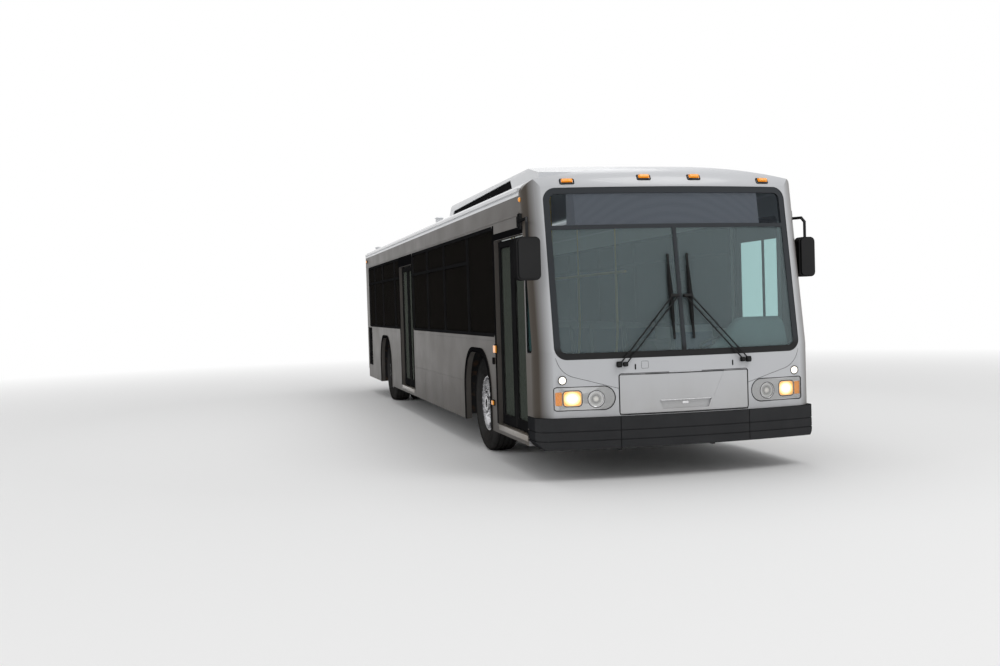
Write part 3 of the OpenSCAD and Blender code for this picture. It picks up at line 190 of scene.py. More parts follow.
class Tree:
    """A short way to write the node tree of a material or a world."""

    def __init__(self, name, blocks=bpy.data.materials, shader="Principled BSDF"):
        self.block = blocks.new(name)
        self.block.use_nodes = True
        self.nodes = self.block.node_tree.nodes
        self.links = self.block.node_tree.links
        self.shader = self.nodes[shader]

    def add(self, kind, inputs=None, **settings):
        node = self.nodes.new("ShaderNode" + kind)
        for key, value in settings.items():
            setattr(node, key, value)
        for key, value in (inputs or {}).items():
            self.put(node, key, value)
        return node

    def put(self, node, key, value):
        socket = node.inputs[key]
        if isinstance(value, bpy.types.NodeSocket):
            self.links.new(value, socket)
        elif isinstance(value, (tuple, list)) and socket.type == "RGBA":
            socket.default_value = (*value, 1.0)
        else:
            socket.default_value = value

    def set(self, **inputs):
        for key, value in inputs.items():
            self.put(self.shader, key.replace("_", " "), value)
        return self

    def place(self):
        return self.add("TexCoord").outputs["Object"]

    def noise(self, scale, detail=4.0, rough=0.55, vector=None):
        vector = vector or self.place()
        node = self.add("TexNoise", {"Scale": scale, "Detail": detail, "Roughness": rough, "Vector": vector})
        return node.outputs["Fac"]

    def stretch(self, scale):
        return self.add("Mapping", {"Vector": self.place(), "Scale": scale}).outputs["Vector"]

    def ramp(self, value, stops):
        node = self.add("ValToRGB", {"Fac": value})
        elements = node.color_ramp.elements
        while len(elements) < len(stops):
            elements.new(0.5)
        for element, (position, colour) in zip(elements, stops):
            element.position = position
            element.color = (*colour, 1.0)
        return node.outputs["Color"]

    def span(self, value, low, high, to_low, to_high):
        node = self.add("MapRange", {"Value": value, "From Min": low, "From Max": high,
                                     "To Min": to_low, "To Max": to_high})
        return node.outputs["Result"]

    def mix(self, factor, a, b):
        node = self.add("Mix", data_type="RGBA")
        self.put(node, 0, factor)
        self.put(node, 6, a)
        self.put(node, 7, b)
        return node.outputs[2]

    def math(self, operation, a, b=0.0):
        node = self.add("Math", operation=operation)
        self.put(node, 0, a)
        self.put(node, 1, b)
        return node.outputs["Value"]

    def height(self):
        return self.add("SeparateXYZ", {"Vector": self.place()}).outputs["Z"]

    def flutes(self, scale, direction="Y"):
        node = self.add("TexWave", {"Scale": scale, "Vector": self.place()}, bands_direction=direction)
        return node.outputs["Fac"]

    def sheen(self, level):
        """A specular level that falls from level, where a face is seen square on, to none at a low angle."""
        facing = self.add("LayerWeight", {"Blend": 0.5}).outputs["Facing"]
        return self.span(facing, 0.2, 0.7, level, 0.0)

    def spot(self, centre, half):
        """Grows from 0 at a place of (distance from the centre line, height) to 1 at half sizes around it."""
        place = self.add("SeparateXYZ", {"Vector": self.place()}).outputs
        aside = self.math("SUBTRACT", self.math("ABSOLUTE", place["Y"]), centre[0])
        across = self.math("DIVIDE", aside, half[0])
        upright = self.math("DIVIDE", self.math("SUBTRACT", place["Z"], centre[1]), half[1])
        return self.math("SQRT", self.math("ADD", self.math("MULTIPLY", across, across),
                                           self.math("MULTIPLY", upright, upright)))

    def bump(self, value, strength, distance=0.002):
        node = self.add("Bump", {"Height": value, "Strength": strength, "Distance": distance})
        self.put(self.shader, "Normal", node.outputs["Normal"])
        return self

    def blend(self, share, a, b):
        """Ends the tree with a mix of two shaders instead of its own one."""
        mixed = self.add("MixShader", {0: share, 1: a, 2: b}).outputs[0]
        self.links.new(mixed, self.nodes["Material Output"].inputs["Surface"])
        return self


def road_film(tree, clean, dirty, low=0.28, high=1.0):
    """A colour that goes from the clean one to a faint road film near the skirt, with soft streaks."""
    streaks = tree.noise(1.0, 5.0, 0.6, tree.stretch((2.2, 2.2, 0.8)))
    film = tree.math("MULTIPLY", tree.span(tree.height(), low, high, 1.0, 0.0), streaks)
    return tree.mix(film, clean, dirty)


def coach_paint(name, colour, metallic, rough, dirt=(0.30, 0.28, 0.25)):
    """Sprayed paint with a clear coat, a faint orange peel and a little road film low down."""
    tree = Tree(name)
    cloud = tree.noise(1.6, 3.0)
    base = road_film(tree, colour, dirt)
    tree.set(Base_Color=base, Metallic=metallic, Coat_Weight=0.6, Coat_Roughness=0.06,
             Roughness=tree.span(cloud, 0.3, 0.7, rough - 0.03, rough + 0.05))
    return tree.bump(tree.noise(260.0, 2.0), 0.02).block


def grained_plastic(name, colour, rough=0.55):
    """Moulded plastic with a fine leather grain."""
    tree = Tree(name)
    worn = tree.mix(tree.noise(3.0, 4.0), colour, tuple(c * 1.35 + 0.01 for c in colour))
    tree.set(Base_Color=worn, Roughness=tree.span(tree.noise(9.0), 0.3, 0.7, rough - 0.06, rough + 0.08),
             Specular_IOR_Level=tree.sheen(0.22))
    return tree.bump(tree.noise(420.0, 3.0), 0.25, 0.0006).block


def rubber(name, colour, rough=0.62):
    tree = Tree(name)
    dusty = road_film(tree, colour, (0.045, 0.042, 0.040), 0.0, 0.9)
    tree.set(Base_Color=dusty, Roughness=tree.span(tree.noise(22.0), 0.3, 0.7, rough - 0.05, rough + 0.1),
             Specular_IOR_Level=tree.sheen(0.18))
    return tree.bump(tree.noise(600.0, 2.0), 0.12, 0.0004).block


def cast_steel(name, colour=(0.035, 0.035, 0.037), rough=0.6):
    tree = Tree(name)
    rust = tree.ramp(tree.noise(14.0, 6.0), [(0.5, colour), (0.72, (0.10, 0.055, 0.03))])
    tree.set(Base_Color=rust, Metallic=0.35, Roughness=rough)
    return tree.bump(tree.noise(90.0, 4.0), 0.3, 0.001).block


def polished_alloy(name):
    """Brushed and polished aluminium, a little lighter and darker in random swirls."""
    tree = Tree(name)
    swirl = tree.noise(30.0, 4.0, 0.6)
    tone = tree.ramp(swirl, [(0.35, (0.62, 0.62, 0.63)), (0.7, (0.80, 0.80, 0.81))])
    tree.set(Base_Color=tone, Metallic=1.0, Roughness=tree.span(swirl, 0.3, 0.7, 0.18, 0.3))
    return tree.bump(tree.noise(220.0, 2.0), 0.05, 0.0005).block


def pane(name, veil_colour, through, shine, veil):
    """Window glass: a film that lets the view through, with a veil of its own colour and more shine at low
    angles; on the windscreen the veil is a painted reflection of the sky.
    """
    tree = Tree(name)
    ripple = tree.noise(0.9, 2.0)
    tree.set(Base_Color=tree.mix(ripple, veil_colour, tuple(c * 1.15 for c in veil_colour)), Roughness=0.02, IOR=1.5,
             Specular_IOR_Level=tree.sheen(0.5 * shine))
    film = tree.add("BsdfTransparent", {"Color": through}).outputs[0]
    facing = tree.add("Fresnel", {"IOR": 1.0 + 0.5 * shine}).outputs["Fac"]
    return tree.blend(tree.span(facing, 0.0, 1.0, veil, 1.0), film, tree.shader.outputs[0]).block


def lens(name, colour, glow):
    """A coloured lamp lens with fine flutes."""
    tree = Tree(name)
    flutes = tree.flutes(60.0)
    tree.set(Base_Color=tree.mix(flutes, colour, tuple(min(1.0, c * 1.25 + 0.02) for c in colour)),
             Roughness=0.16, Coat_Weight=0.5, Emission_Color=colour, Emission_Strength=glow)
    return tree.bump(flutes, 0.3, 0.001).block


def cloth(name, colour, thread):
    tree = Tree(name)
    weave = tree.math("MULTIPLY", tree.flutes(260.0, "X"), tree.flutes(260.0, "Z"))
    fleck = tree.ramp(tree.noise(90.0, 2.0), [(0.45, colour), (0.62, thread)])
    tree.set(Base_Color=fleck, Roughness=0.85, Sheen_Weight=0.3)
    return tree.bump(weave, 0.35, 0.001).block


def studded_floor(name):
    tree = Tree(name)
    studs = tree.add("TexVoronoi", {"Scale": 42.0, "Vector": tree.place()}).outputs["Distance"]
    tone = tree.ramp(tree.noise(160.0, 2.0), [(0.42, (0.10, 0.105, 0.11)), (0.6, (0.17, 0.175, 0.18))])
    tree.set(Base_Color=tone, Roughness=0.6)
    return tree.bump(studs, 0.3, 0.001).block


def glowing_blank_display(name):
    """A switched-off dot display behind glass: fine rows of dark dots with no characters, and a faint painted
    glow though it is off, so that it reads lighter than its frame.
    """
    tree = Tree(name)
    grid = tree.add("TexVoronoi", {"Scale": 70.0, "Randomness": 0.0, "Vector": tree.place()})
    dots = grid.outputs["Distance"]
    tone = tree.ramp(dots, [(0.25, (0.21, 0.225, 0.24)), (0.5, (0.17, 0.18, 0.195))])
    # The emission is painted light: the display is switched off
    return tree.set(Base_Color=tone, Roughness=0.35, Emission_Color=tone, Emission_Strength=0.55).block


def shaded_body_paint(name, front, side):
    """Coach paint with painted shade: darker, warmer and duller where a face looks sideways, for shade and
    dark reflections; its low road film is a darker copy of that shade.
    """
    tree = Tree(name)
    normal = tree.add("NewGeometry").outputs["Normal"]
    across = tree.add("SeparateXYZ", {"Vector": normal}).outputs["Y"]
    share = tree.span(tree.math("ABSOLUTE", across), 0.35, 0.85, 0.0, 1.0)
    base = tree.mix(share, front, side)
    film = road_film(tree, base, tuple(c * 0.8 for c in side), 0.28, 0.75)
    tree.set(Base_Color=film, Roughness=tree.span(tree.noise(2.2, 3.0), 0.3, 0.7, 0.28, 0.36),
             Specular_IOR_Level=tree.span(share, 0.0, 1.0, 0.5, 0.06),
             Coat_Weight=tree.span(share, 0.0, 1.0, 0.3, 0.0), Coat_Roughness=0.08)
    return tree.bump(tree.noise(260.0, 2.0), 0.02).block


def lamp_face(name, colour, glow):
    """A lit lamp with fine vertical flutes."""
    tree = Tree(name)
    flutes = tree.flutes(30.0)
    tone = tree.mix(flutes, colour, tuple(min(1.0, c * 1.2 + 0.05) for c in colour))
    tree.set(Base_Color=tone, Roughness=0.12, Coat_Weight=0.6, Emission_Color=colour,
             Emission_Strength=tree.span(flutes, 0.0, 1.0, glow * 0.75, glow))
    return tree.bump(flutes, 0.25, 0.001).block


def painted_reflector(name):
    """The bright dish of an unlit lamp behind its flutes, with painted reflections in it: a painted highlight
    on the light bulb, a dark ring and a bright rim, and a faint painted glow though the lamp is unlit.
    """
    tree = Tree(name)
    reach = tree.spot(ROUND_LAMP[:2], (ROUND_LAMP[2], ROUND_LAMP[2]))
    flutes = tree.flutes(24.0)
    reflection_rings = tree.ramp(reach, [(0.0, (1.0, 0.97, 0.90)), (0.26, (0.80, 0.78, 0.74)),
                             (0.46, (0.20, 0.20, 0.20)), (0.74, (0.50, 0.50, 0.49)),
                             (0.93, (0.85, 0.85, 0.84)), (1.0, (0.12, 0.12, 0.12))])
    tone = tree.mix(tree.span(flutes, 0.0, 1.0, 0.0, 0.35), reflection_rings, (0.62, 0.62, 0.60))
    # The ramp's rings are painted reflections, and the faint emission is painted glow on an unlit lamp
    tree.set(Base_Color=tone, Metallic=0.5, Roughness=0.2, Emission_Color=tone, Emission_Strength=0.10)
    return tree.bump(flutes, 0.4, 0.002).block


def square_glow(name):
    """The lit outer lamp: white in its middle and warm towards its rim."""
    tree = Tree(name)
    inner, outer, low, high = SQUARE_LAMP
    reach = tree.spot(((inner + outer) / 2, (low + high) / 2), ((outer - inner) / 2, (high - low) / 2))
    tone = tree.ramp(reach, [(0.0, (1.0, 0.97, 0.86)), (0.55, (1.0, 0.90, 0.62)),
                             (0.90, (1.0, 0.66, 0.26)), (1.0, (0.95, 0.50, 0.12))])
    tree.set(Base_Color=tone, Roughness=0.12, Coat_Weight=0.6, Emission_Color=tone,
             Emission_Strength=tree.span(reach, 0.3, 1.1, 1.5, 0.6))
    return tree.bump(tree.flutes(30.0), 0.25, 0.001).block


def surround_rubber(name):
    """Black under the screens, and the glass's dark slate beside and above them."""
    tree = Tree(name)
    share = tree.span(tree.height(), 1.11, 1.16, 0.0, 1.0)
    tone = tree.mix(share, (0.006, 0.006, 0.0065), (0.022, 0.026, 0.031))
    tree.set(Base_Color=tone, Specular_IOR_Level=0.3,
             Roughness=tree.span(tree.noise(9.0), 0.3, 0.7, 0.30, 0.38))
    return tree.bump(tree.noise(420.0, 3.0), 0.1, 0.0006).block


def mirror_glass(name):
    tree = Tree(name)
    silvering = tree.mix(tree.noise(5.0), (0.70, 0.72, 0.74), (0.76, 0.78, 0.80))
    return tree.set(Base_Color=silvering, Metallic=1.0, Roughness=0.04).block


# Headlamp places: the round lamp as (y, z, radius), the square and turn lamps as (inner, outer, low, high)
ROUND_LAMP = (0.797, 0.701, 0.064)
SQUARE_LAMP = (0.925, 1.075, 0.647, 0.771)
TURN_LAMP = (1.087, 1.146, 0.650, 0.768)
# The small upper lamp as (y, z), and a height between it and the cluster
UPPER_LAMP = (1.085, 0.868)
CLUSTER_TOP_Z = 0.84

PAINT = {
    # The second colour of each body paint is painted shade on faces that look sideways; the walls' paint is a
    # darker, shaded copy of the silver in all its colours
    "silver": shaded_body_paint("silver_paint", (0.56, 0.57, 0.59), (0.085, 0.072, 0.060)),
    "silver_shaded": shaded_body_paint("silver_shaded_paint", (0.12, 0.11, 0.10), (0.072, 0.063, 0.055)),
    "white": coach_paint("white_roof_paint", (0.64, 0.65, 0.67), 0.0, 0.45, (0.45, 0.43, 0.40)),
    "panel": coach_paint("panel_paint", (0.57, 0.58, 0.60), 0.0, 0.34),
    "lining": grained_plastic("lining_panel", (0.40, 0.42, 0.41), 0.5),
    "plastic": grained_plastic("charcoal_bumper", (0.014, 0.0145, 0.016)),
    "dark_plastic": grained_plastic("dark_plastic", (0.006, 0.006, 0.0065), 0.42),
    "cowl": grained_plastic("dash_cowl", (0.20, 0.27, 0.27), 0.6),
    "surround": surround_rubber("screen_surround_trim"),
    "bezel": coach_paint("lamp_bezel", (0.66, 0.67, 0.68), 0.2, 0.25),
    "grey_plastic": grained_plastic("grey_plastic", (0.20, 0.205, 0.21), 0.5),
    "rubber": rubber("black_trim", (0.006, 0.006, 0.0065)),
    "tyre": rubber("tyre_rubber", (0.018, 0.018, 0.018), 0.7),
    "steel": cast_steel("axle_iron"),
    "frame": cast_steel("frame_steel", (0.02, 0.02, 0.022), 0.5),
    "alloy": polished_alloy("wheel_alloy"),
    "sill": coach_paint("sill_aluminium", (0.19, 0.155, 0.12), 0.35, 0.42),
    # The windscreen's pale grey-teal veil is a painted reflection of the sky
    "screen_glass": pane("windscreen_glass", (0.35, 0.425, 0.445), (0.88, 0.94, 0.935), 0.5, 0.20),
    "side_glass": pane("window_glass", (0.016, 0.0145, 0.013), (0.20, 0.198, 0.195), 0.30, 0.45),
    "door_glass": pane("door_glass", (0.105, 0.115, 0.100), (0.60, 0.65, 0.63), 0.30, 0.26),
    "cab_glass": pane("cab_glass", (0.05, 0.08, 0.08), (0.80, 0.95, 0.945), 0.15, 0.06),
    "sign_glass": pane("sign_glass", (0.050, 0.060, 0.072), (0.88, 0.90, 0.93), 0.5, 0.22),
    "clear": pane("clear_lens", (0.8, 0.8, 0.8), (0.98, 0.98, 0.98), 0.6, 0.03),
    "amber": lens("amber_lens", (0.80, 0.29, 0.010), 0.30),
    "red": lens("red_lens", (0.45, 0.015, 0.012), 0.1),
    "head_lit": square_glow("head_lamp_lit"),
    "upper_lit": lamp_face("upper_lamp_lit", (1.0, 0.92, 0.78), 1.1),
    "head_round": painted_reflector("head_lamp_round"),
    "strip": lamp_face("ceiling_strip", (0.95, 1.0, 0.98), 0.7),
    "seat": cloth("seat_cloth", (0.030, 0.045, 0.095), (0.07, 0.09, 0.15)),
    "yellow": coach_paint("rail_yellow", (0.68, 0.44, 0.04), 0.0, 0.35),
    "floor": studded_floor("floor_cover"),
    "display": glowing_blank_display("glowing_blank_display"),
    "mirror": mirror_glass("mirror_glass"),
}

# Nodes of one material each; those of several follow
NODE_PAINT = {
    "silver": ["front_mask", "rear_cap", "engine_door"],
    "panel": ["access_panel"],
    "white": ["roof_hatch"],
    "plastic": ["front_bumper", "rear_bumper", "side_grille"],
    "dark_plastic": ["dashboard", "steering_wheel", "wipers", "window_frames"],
    "surround": ["screen_surround"],
    "rubber": ["arch_trims"],
    "steel": ["front_axle", "rear_axle", "knuckle_left", "knuckle_right", "engine"],
    "frame": ["underframe", "wheel_housings"],
    "alloy": ["disc_front_left", "disc_front_right", "discs_rear_left", "discs_rear_right"],
    "red": ["tail_lamps"],
    "yellow": ["grab_rails"],
    "floor": ["floor"],
    "display": ["sign_box"],
}
LEAVES = ["front_leaf_fore", "front_leaf_aft", "rear_leaf_fore", "rear_leaf_aft"]


def paint(obj, *materials):
    obj.data.materials.clear()
    for material in materials:
        obj.data.materials.append(material)


def paint_faces(node, rule, *keys):
    """Gives a CAD node several materials: rule(middle, normal) is the place of a face's material in keys."""
    obj = NODES[node]
    paint(obj, *[PAINT[key] for key in keys])
    for face in obj.data.polygons:
        face.material_index = rule(face.center, face.normal)


for key, names in NODE_PAINT.items():
    for name in names:
        paint(NODES[name], PAINT[key])

# Above the transom the windscreen is the sign's pane, and panes ahead of CAB_X are beside the driver
SIGN_PANE_Z = 2.20
CAB_X = 4.4
# The inner faces of walls and roof lie within this distance of the centre line
LINING_Y = 1.26
# The fairing's recessed side bands lie between these two; their black is painted shade of the fairing's
# shaded side
SHADED_BAND_Y = (0.984, 0.9985)
# The door leaves' outer face, their thickness, and half that of their glass
LEAF_FACE_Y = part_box("front_leaf_fore")[0].y
LEAF_T = 0.040
GLASS_HALF = 0.0045
# A marker lamp's faces are its black housing's where their middles stand out less, on the brow and the walls
HOUSING_T = 0.0125
SIDE_HOUSING_T = 0.0084


def wall_rule(middle, normal):
    return int(abs(middle.y) < LINING_Y and abs(normal.y) > 0.9)


def roof_rule(middle, normal):
    return int(normal.z < -0.3 and abs(middle.y) < LINING_Y)


def fairing_shade_rule(middle, normal):
    return int(abs(normal.y) > 0.995 and SHADED_BAND_Y[0] < abs(middle.y) < SHADED_BAND_Y[1])


def mirror_rule(middle, normal):
    """The glass at the bottom of a head's recess looks backwards."""
    return int(normal.x < -0.9 and abs(middle.y) > HALF_W)


def leaf_rule(middle, normal):
    if abs(middle.y - (LEAF_FACE_Y + LEAF_T / 2)) < GLASS_HALF and abs(normal.y) > 0.9:
        return 1
    return 2 if middle.y > LEAF_FACE_Y + LEAF_T + 0.0015 else 0


def within(y, z, lamp):
    inner, outer, low, high = lamp
    return inner < y < outer and low < z < high


def headlamp_rule(middle, normal):
    y, z = abs(middle.y), middle.z
    if normal.x < 0.3:
        return 0
    if z > CLUSTER_TOP_Z:
        return 4
    if math.dist((y, z), ROUND_LAMP[:2]) < ROUND_LAMP[2] - 0.001:
        return 2
    if within(y, z, SQUARE_LAMP):
        return 1
    return 3 if within(y, z, TURN_LAMP) else 0


def marker_rule(middle, normal):
    if abs(middle.y) > HALF_W - 0.01:
        return int(abs(middle.y) - HALF_W > SIDE_HOUSING_T)
    reach = math.hypot(middle.x - MASK_X + BOW_R, middle.y) - BROW_REACH
    return int(math.hypot(reach, middle.z - BROW_Z) - BROW_R > HOUSING_T)


paint_faces("windscreen", lambda middle, normal: int(middle.z > SIGN_PANE_Z), "screen_glass", "sign_glass")
paint_faces("side_glass", lambda middle, normal: int(middle.x > CAB_X), "side_glass", "cab_glass")
# The walls' outer faces take the silver in painted shade
paint_faces("wall_left", wall_rule, "silver_shaded", "lining")
paint_faces("wall_right", wall_rule, "silver_shaded", "lining")
paint_faces("roof", roof_rule, "white", "lining")
# Black plastic on the fairing's side bands is painted shade
paint_faces("roof_fairing", fairing_shade_rule, "white", "dark_plastic")
for name in LEAVES:
    paint_faces(name, leaf_rule, "dark_plastic", "door_glass", "yellow")
paint_faces("headlamps", headlamp_rule, "bezel", "head_lit", "head_round", "amber", "upper_lit")
paint_faces("marker_lamps", marker_rule, "dark_plastic", "amber")
paint_faces("mirrors", mirror_rule, "dark_plastic", "mirror")

# Wheels

RIM_R = 0.286
TWIN_PITCH = 0.334
TREAD_STEPS = 132
GROOVE_D = 0.011
# Cross cuts farther out than this lie in the shoulder ribs
SHOULDER_Y = 0.084


def tyre_section():
    """From bead to bead over the tread, as (radius, y), with raised lines on the walls and five ribs."""
    wall = [(0.0005, 0.107), (0.012, 0.118), (0.022, 0.121), (0.026, 0.1265), (0.030, 0.1245), (0.062, 0.138),
            (0.088, 0.1425), (0.092, 0.1448), (0.108, 0.1448), (0.112, 0.1425), (0.140, 0.140)]
    shoulder = [(0.046, 0.1368), (0.036, 0.1345), (0.030, 0.131), (0.014, 0.121), (0.004, 0.108)]
    side = [(RIM_R + r, y) for r, y in wall] + [(TYRE_R - r, y) for r, y in shoulder]
    tread = []
    for middle in (0.078, 0.026):
        tread += [(TYRE_R, middle + 0.0065), (TYRE_R - GROOVE_D, middle + 0.0045),
                  (TYRE_R - GROOVE_D, middle - 0.0045), (TYRE_R, middle - 0.0065)]
    half = side + [(TYRE_R - 0.001, 0.100)] + tread
    return half + [(r, -y) for r, y in reversed(half)]


def tread_radius(r, y, i):
    """Cross cuts in the ribs at every sixth step: deep ones in the shoulders, shallow ones in the middle."""
    phase = i % 6
    if abs(y) > SHOULDER_Y:
        return r - (0.008 if phase == 0 and r > TYRE_R - 0.006 else 0.0)
    return r - (0.003 if phase == 3 and r > TYRE_R - 0.002 else 0.0)


def tyre(name, node, body, places):
    shape = Shape()
    for x, y in places:
        shape.turned(tyre_section(), (x, y, HUB_Z), TREAD_STEPS, closed=False, radius=tread_radius)
    shape.make(name, PAINT["tyre"], body, "tyre_rubber", [node], sharp=0.5)


def tyres():
    """Front tyres, and twin ones on the rear axle, in place of the plain ones of the frame."""
    for side, word in ((1, "left"), (-1, "right")):
        outer, inner = side * WHEEL_Y, side * (WHEEL_Y - TWIN_PITCH)
        tyre(f"tread_front_{word}", f"tyre_front_{word}", f"wheel_front_{word}", [(FRONT_AXLE_X, outer)])
        tyre(f"treads_rear_{word}", f"tyres_rear_{word}", f"wheels_rear_{word}",
             [(REAR_AXLE_X, outer), (REAR_AXLE_X, inner)])


# Benches

# The least width of a bench with two places, and the gaps before its moulding and beside each place
DOUBLE_W = 0.6
FRONT_GAP = 0.010
SIDE_GAP = 0.012
# A place's moulding from the side, as (ahead of its front edge, above the floor)
MOULDING = [(-0.40, 0.375), (-0.02, 0.375), (0.0, 0.395), (-0.01, 0.418), (-0.37, 0.410), (-0.405, 0.480),
            (-0.455, 0.880), (-0.47, 0.915), (-0.50, 0.910), (-0.495, 0.860), (-0.435, 0.430)]
# The moulding's sections across, as (share of its half width, how far it shrinks to its middle)
MOULDING_SECTIONS = [(-1.0, 0.012), (-0.94, 0.0), (0.94, 0.0), (1.0, 0.012)]
# A place's two pads as (ahead of its front edge, above the floor, lean)
PADS = [(-0.205, 0.426, 0.02), (-0.416, 0.685, math.radians(97))]
# The moulding that shows beside a pad, and the pad's half length and thickness, crown and pulled-in rim
PAD_MARGIN = 0.022
PAD_HALF = (0.165, 0.012)
PAD_RISE = 0.010
RIM_PULL = 0.012
# Its sewn channel's depth, and its place and width as shares of half the pad's width
CHANNEL = (0.006, 0.1, 0.06)
PAD_STEPS = (10, 14)
# The leg and the beam that it carries, as [rear, front, low, high] from the front edge and the floor
LEG = [-0.25, -0.15, 0.0, 0.38]
BEAM = [-0.33, -0.08, 0.355, 0.378]
LEG_MARGIN = 0.03


def pad(shape, centre, half, lean):
    """A crowned cushion whose rim pulls in between its corners, with a sewn channel across its middle."""
    turn = Matrix.Rotation(-lean, 3, "Y")
    depth, place, width = CHANNEL
    along, across = PAD_STEPS

    def point(u, v, w):
        pull = RIM_PULL * ((1 - u * u) * (abs(v) > 0.999) + (1 - v * v) * (abs(u) > 0.999))
        rise = 0.0
        if w > 0:
            rise = PAD_RISE * (1 - u**4) * (1 - v**4) - depth * math.exp(-((v - place) / width) ** 2)
        local = Vector((u * half[0] * (1 - pull), v * half[1] * (1 - pull), w * half[2] + rise))
        return Vector(centre) + turn @ local

    rings = []
    for j in range(across + 1):
        v = -1 + 2 * j / across
        top = [point(-1 + 2 * i / along, v, 1) for i in range(along + 1)]
        low = [point(1 - 2 * i / along, v, -1) for i in range(along + 1)]
        rings.append(top + low)
    shape.loft(rings)


def bench_boxes():
    """The (low, high) corners of each bench, found as a loose part of the benches' mesh."""
    loose = {}
    work = bmesh.new()
    work.from_mesh(NODES["seats"].data)
    bmesh.ops.remove_doubles(work, verts=work.verts, dist=0.0001)
    seen = set()
    for start in work.verts:
        if start in seen:
            continue
        group, todo = {start}, [start]
        while todo:
            vertex = todo.pop()
            joined = {edge.other_vert(vertex) for edge in vertex.link_edges} - group
            group |= joined
            todo += joined
        seen |= group
        low = [min(vertex.co[i] for vertex in group) for i in range(3)]
        high = [max(vertex.co[i] for vertex in group) for i in range(3)]
        loose[tuple(round(value, 3) for value in low)] = high
    work.free()
    return sorted(loose.items())


def moulding(shape, front, y, floor, half):
    """One place's moulding, from its front edge and floor, and half its width to each side of y."""
    outline = [(front + x, floor + z) for x, z in MOULDING]
    middle_x = sum(x for x, _ in outline) / len(outline)
    middle_z = sum(z for _, z in outline) / len(outline)
    rings = []
    for step, shrink in MOULDING_SECTIONS:
        rings.append([(x + (middle_x - x) * shrink * 2, y + step * half, z + (middle_z - z) * shrink)
                      for x, z in outline])
    shape.loft(rings)


def benches():
    """The benches' mouldings, pads and legs, in place of the plain ones of the frame."""
    shells, pads, legs = Shape(), Shape(), Shape()
    for low, high in bench_boxes():
        width = high[1] - low[1]
        count = 2 if width > DOUBLE_W else 1
        place = width / count
        front, floor = high[0] - FRONT_GAP, low[2]
        for i in range(count):
            y = low[1] + place * (i + 0.5)
            half = place / 2 - SIDE_GAP
            moulding(shells, front, y, floor, half)
            for x, z, lean in PADS:
                pad(pads, (front + x, y, floor + z), (PAD_HALF[0], half - PAD_MARGIN, PAD_HALF[1]), lean)
        middle = (low[1] + high[1]) / 2
        leg = (LEG, middle - LEG_MARGIN, middle + LEG_MARGIN, 0.01)
        beam = (BEAM, low[1] + LEG_MARGIN, high[1] - LEG_MARGIN, 0.006)
        for (rear, ahead, foot, top), right, left, bevel in (leg, beam):
            legs.box((front + rear, right, floor + foot), (front + ahead, left, floor + top), bevel)
    shells.make("seat_shells", PAINT["grey_plastic"], "body", "charcoal_bumper", ["seats"])
    cushions = pads.make("seat_pads", PAINT["seat"], "body", "seat_cloth")
    legs.make("seat_legs", PAINT["frame"], "body", "frame_steel")


# Trim on the mask


def on_mask(path, lift):
    """Points of (y, z) laid on the mask's face, and lifted off it."""
    return [(mask_face(y, z) + lift, y, z) for y, z in path]


PATCH_RINGS = 5
CURVE_STEPS = 16


def patch(shape, outline, depth, thick):
    """A thin curved plate on the mask inside an outline of (y, z) points."""
    mid_y, mid_z = [sum(point[i] for point in outline) / len(outline) for i in (0, 1)]
    scales = [1.0 - 0.96 * i / PATCH_RINGS for i in range(PATCH_RINGS + 1)]
    inner = [[(mid_y + (y - mid_y) * k, mid_z + (z - mid_z) * k) for y, z in outline] for k in scales]
    back = [on_mask(ring, -depth - thick) for ring in inner]
    front = [on_mask(ring, -depth) for ring in inner]
    shape.loft(back[::-1] + front)


# The joint over a headlamp cluster, from beside the screen to the access panel, as (y, z)
SEAM_BEND = [(1.135, 1.060), (1.105, 0.930), (0.990, 0.893)]
SEAM_END = [(0.860, 0.857), (0.730, 0.820), (0.603, 0.785)]
# The hatch and the blank sensor cover, as [low corner, high corner, corner radius]
COVERS = [[(-0.398, 0.948), (-0.336, 1.010), 0.010], [(-0.055, 2.585), (0.055, 2.652), 0.018]]
# The seal round the access panel: half width, low and high
ACCESS_SEAL = (0.5955, 0.5555, 0.8985)


def bow(start, bend, end):
    """A curve of three points, as points in two axes."""
    turns = [i / CURVE_STEPS for i in range(CURVE_STEPS + 1)]
    return [tuple((1 - t) ** 2 * a + 2 * t * (1 - t) * b + t * t * c for a, b, c in zip(start, bend, end))
            for t in turns]


def split(path, longest=0.06):
    """The path with long steps cut into shorter ones, so that it follows a bowed face."""
    points = path[:1]
    for a, b in zip(path, path[1:]):
        count = max(1, math.ceil(math.dist(a, b) / longest))
        points += [tuple(p + (q - p) * i / count for p, q in zip(a, b)) for i in range(1, count + 1)]
    return points


def beads(name, paths, lift, radius, sides, key="rubber", slot="black_trim", both=True):
    """A piece on the body, of tubes laid on the mask's face along paths of (y, z)."""
    shape = Shape()
    for path in paths:
        shape.tube(on_mask(path, lift), radius, sides)
    shape.make(name, PAINT[key], "body", slot, both=both)


def mask_lines():
    """Thin joints over the headlamps and round the covers, and the seal round the access panel."""
    beads("mask_joints", [bow(*SEAM_BEND) + SEAM_END], -0.0006, 0.0022, 6, "dark_plastic")
    beads("mask_covers", [looped(rounded(*cover)) for cover in COVERS], -0.0006, 0.0016, 6, "dark_plastic",
          both=False)
    half, low, high = ACCESS_SEAL
    seal = split(looped(rounded((-half, low), (half, high), 0.012)))
    beads("access_seal", [seal], -0.0018, 0.0042, 6, both=False)


# Clearance lamps on the brow as (distance from the centre line, middle height), and half their size
CLEARANCE = [(0.236, 2.612), (0.926, 2.584)]
CLEARANCE_HALF = (0.060, 0.022)
# The slot beside a wiper's pivot, as its low and high corners
SLOT = [(0.446, 0.940), (0.458, 0.988)]


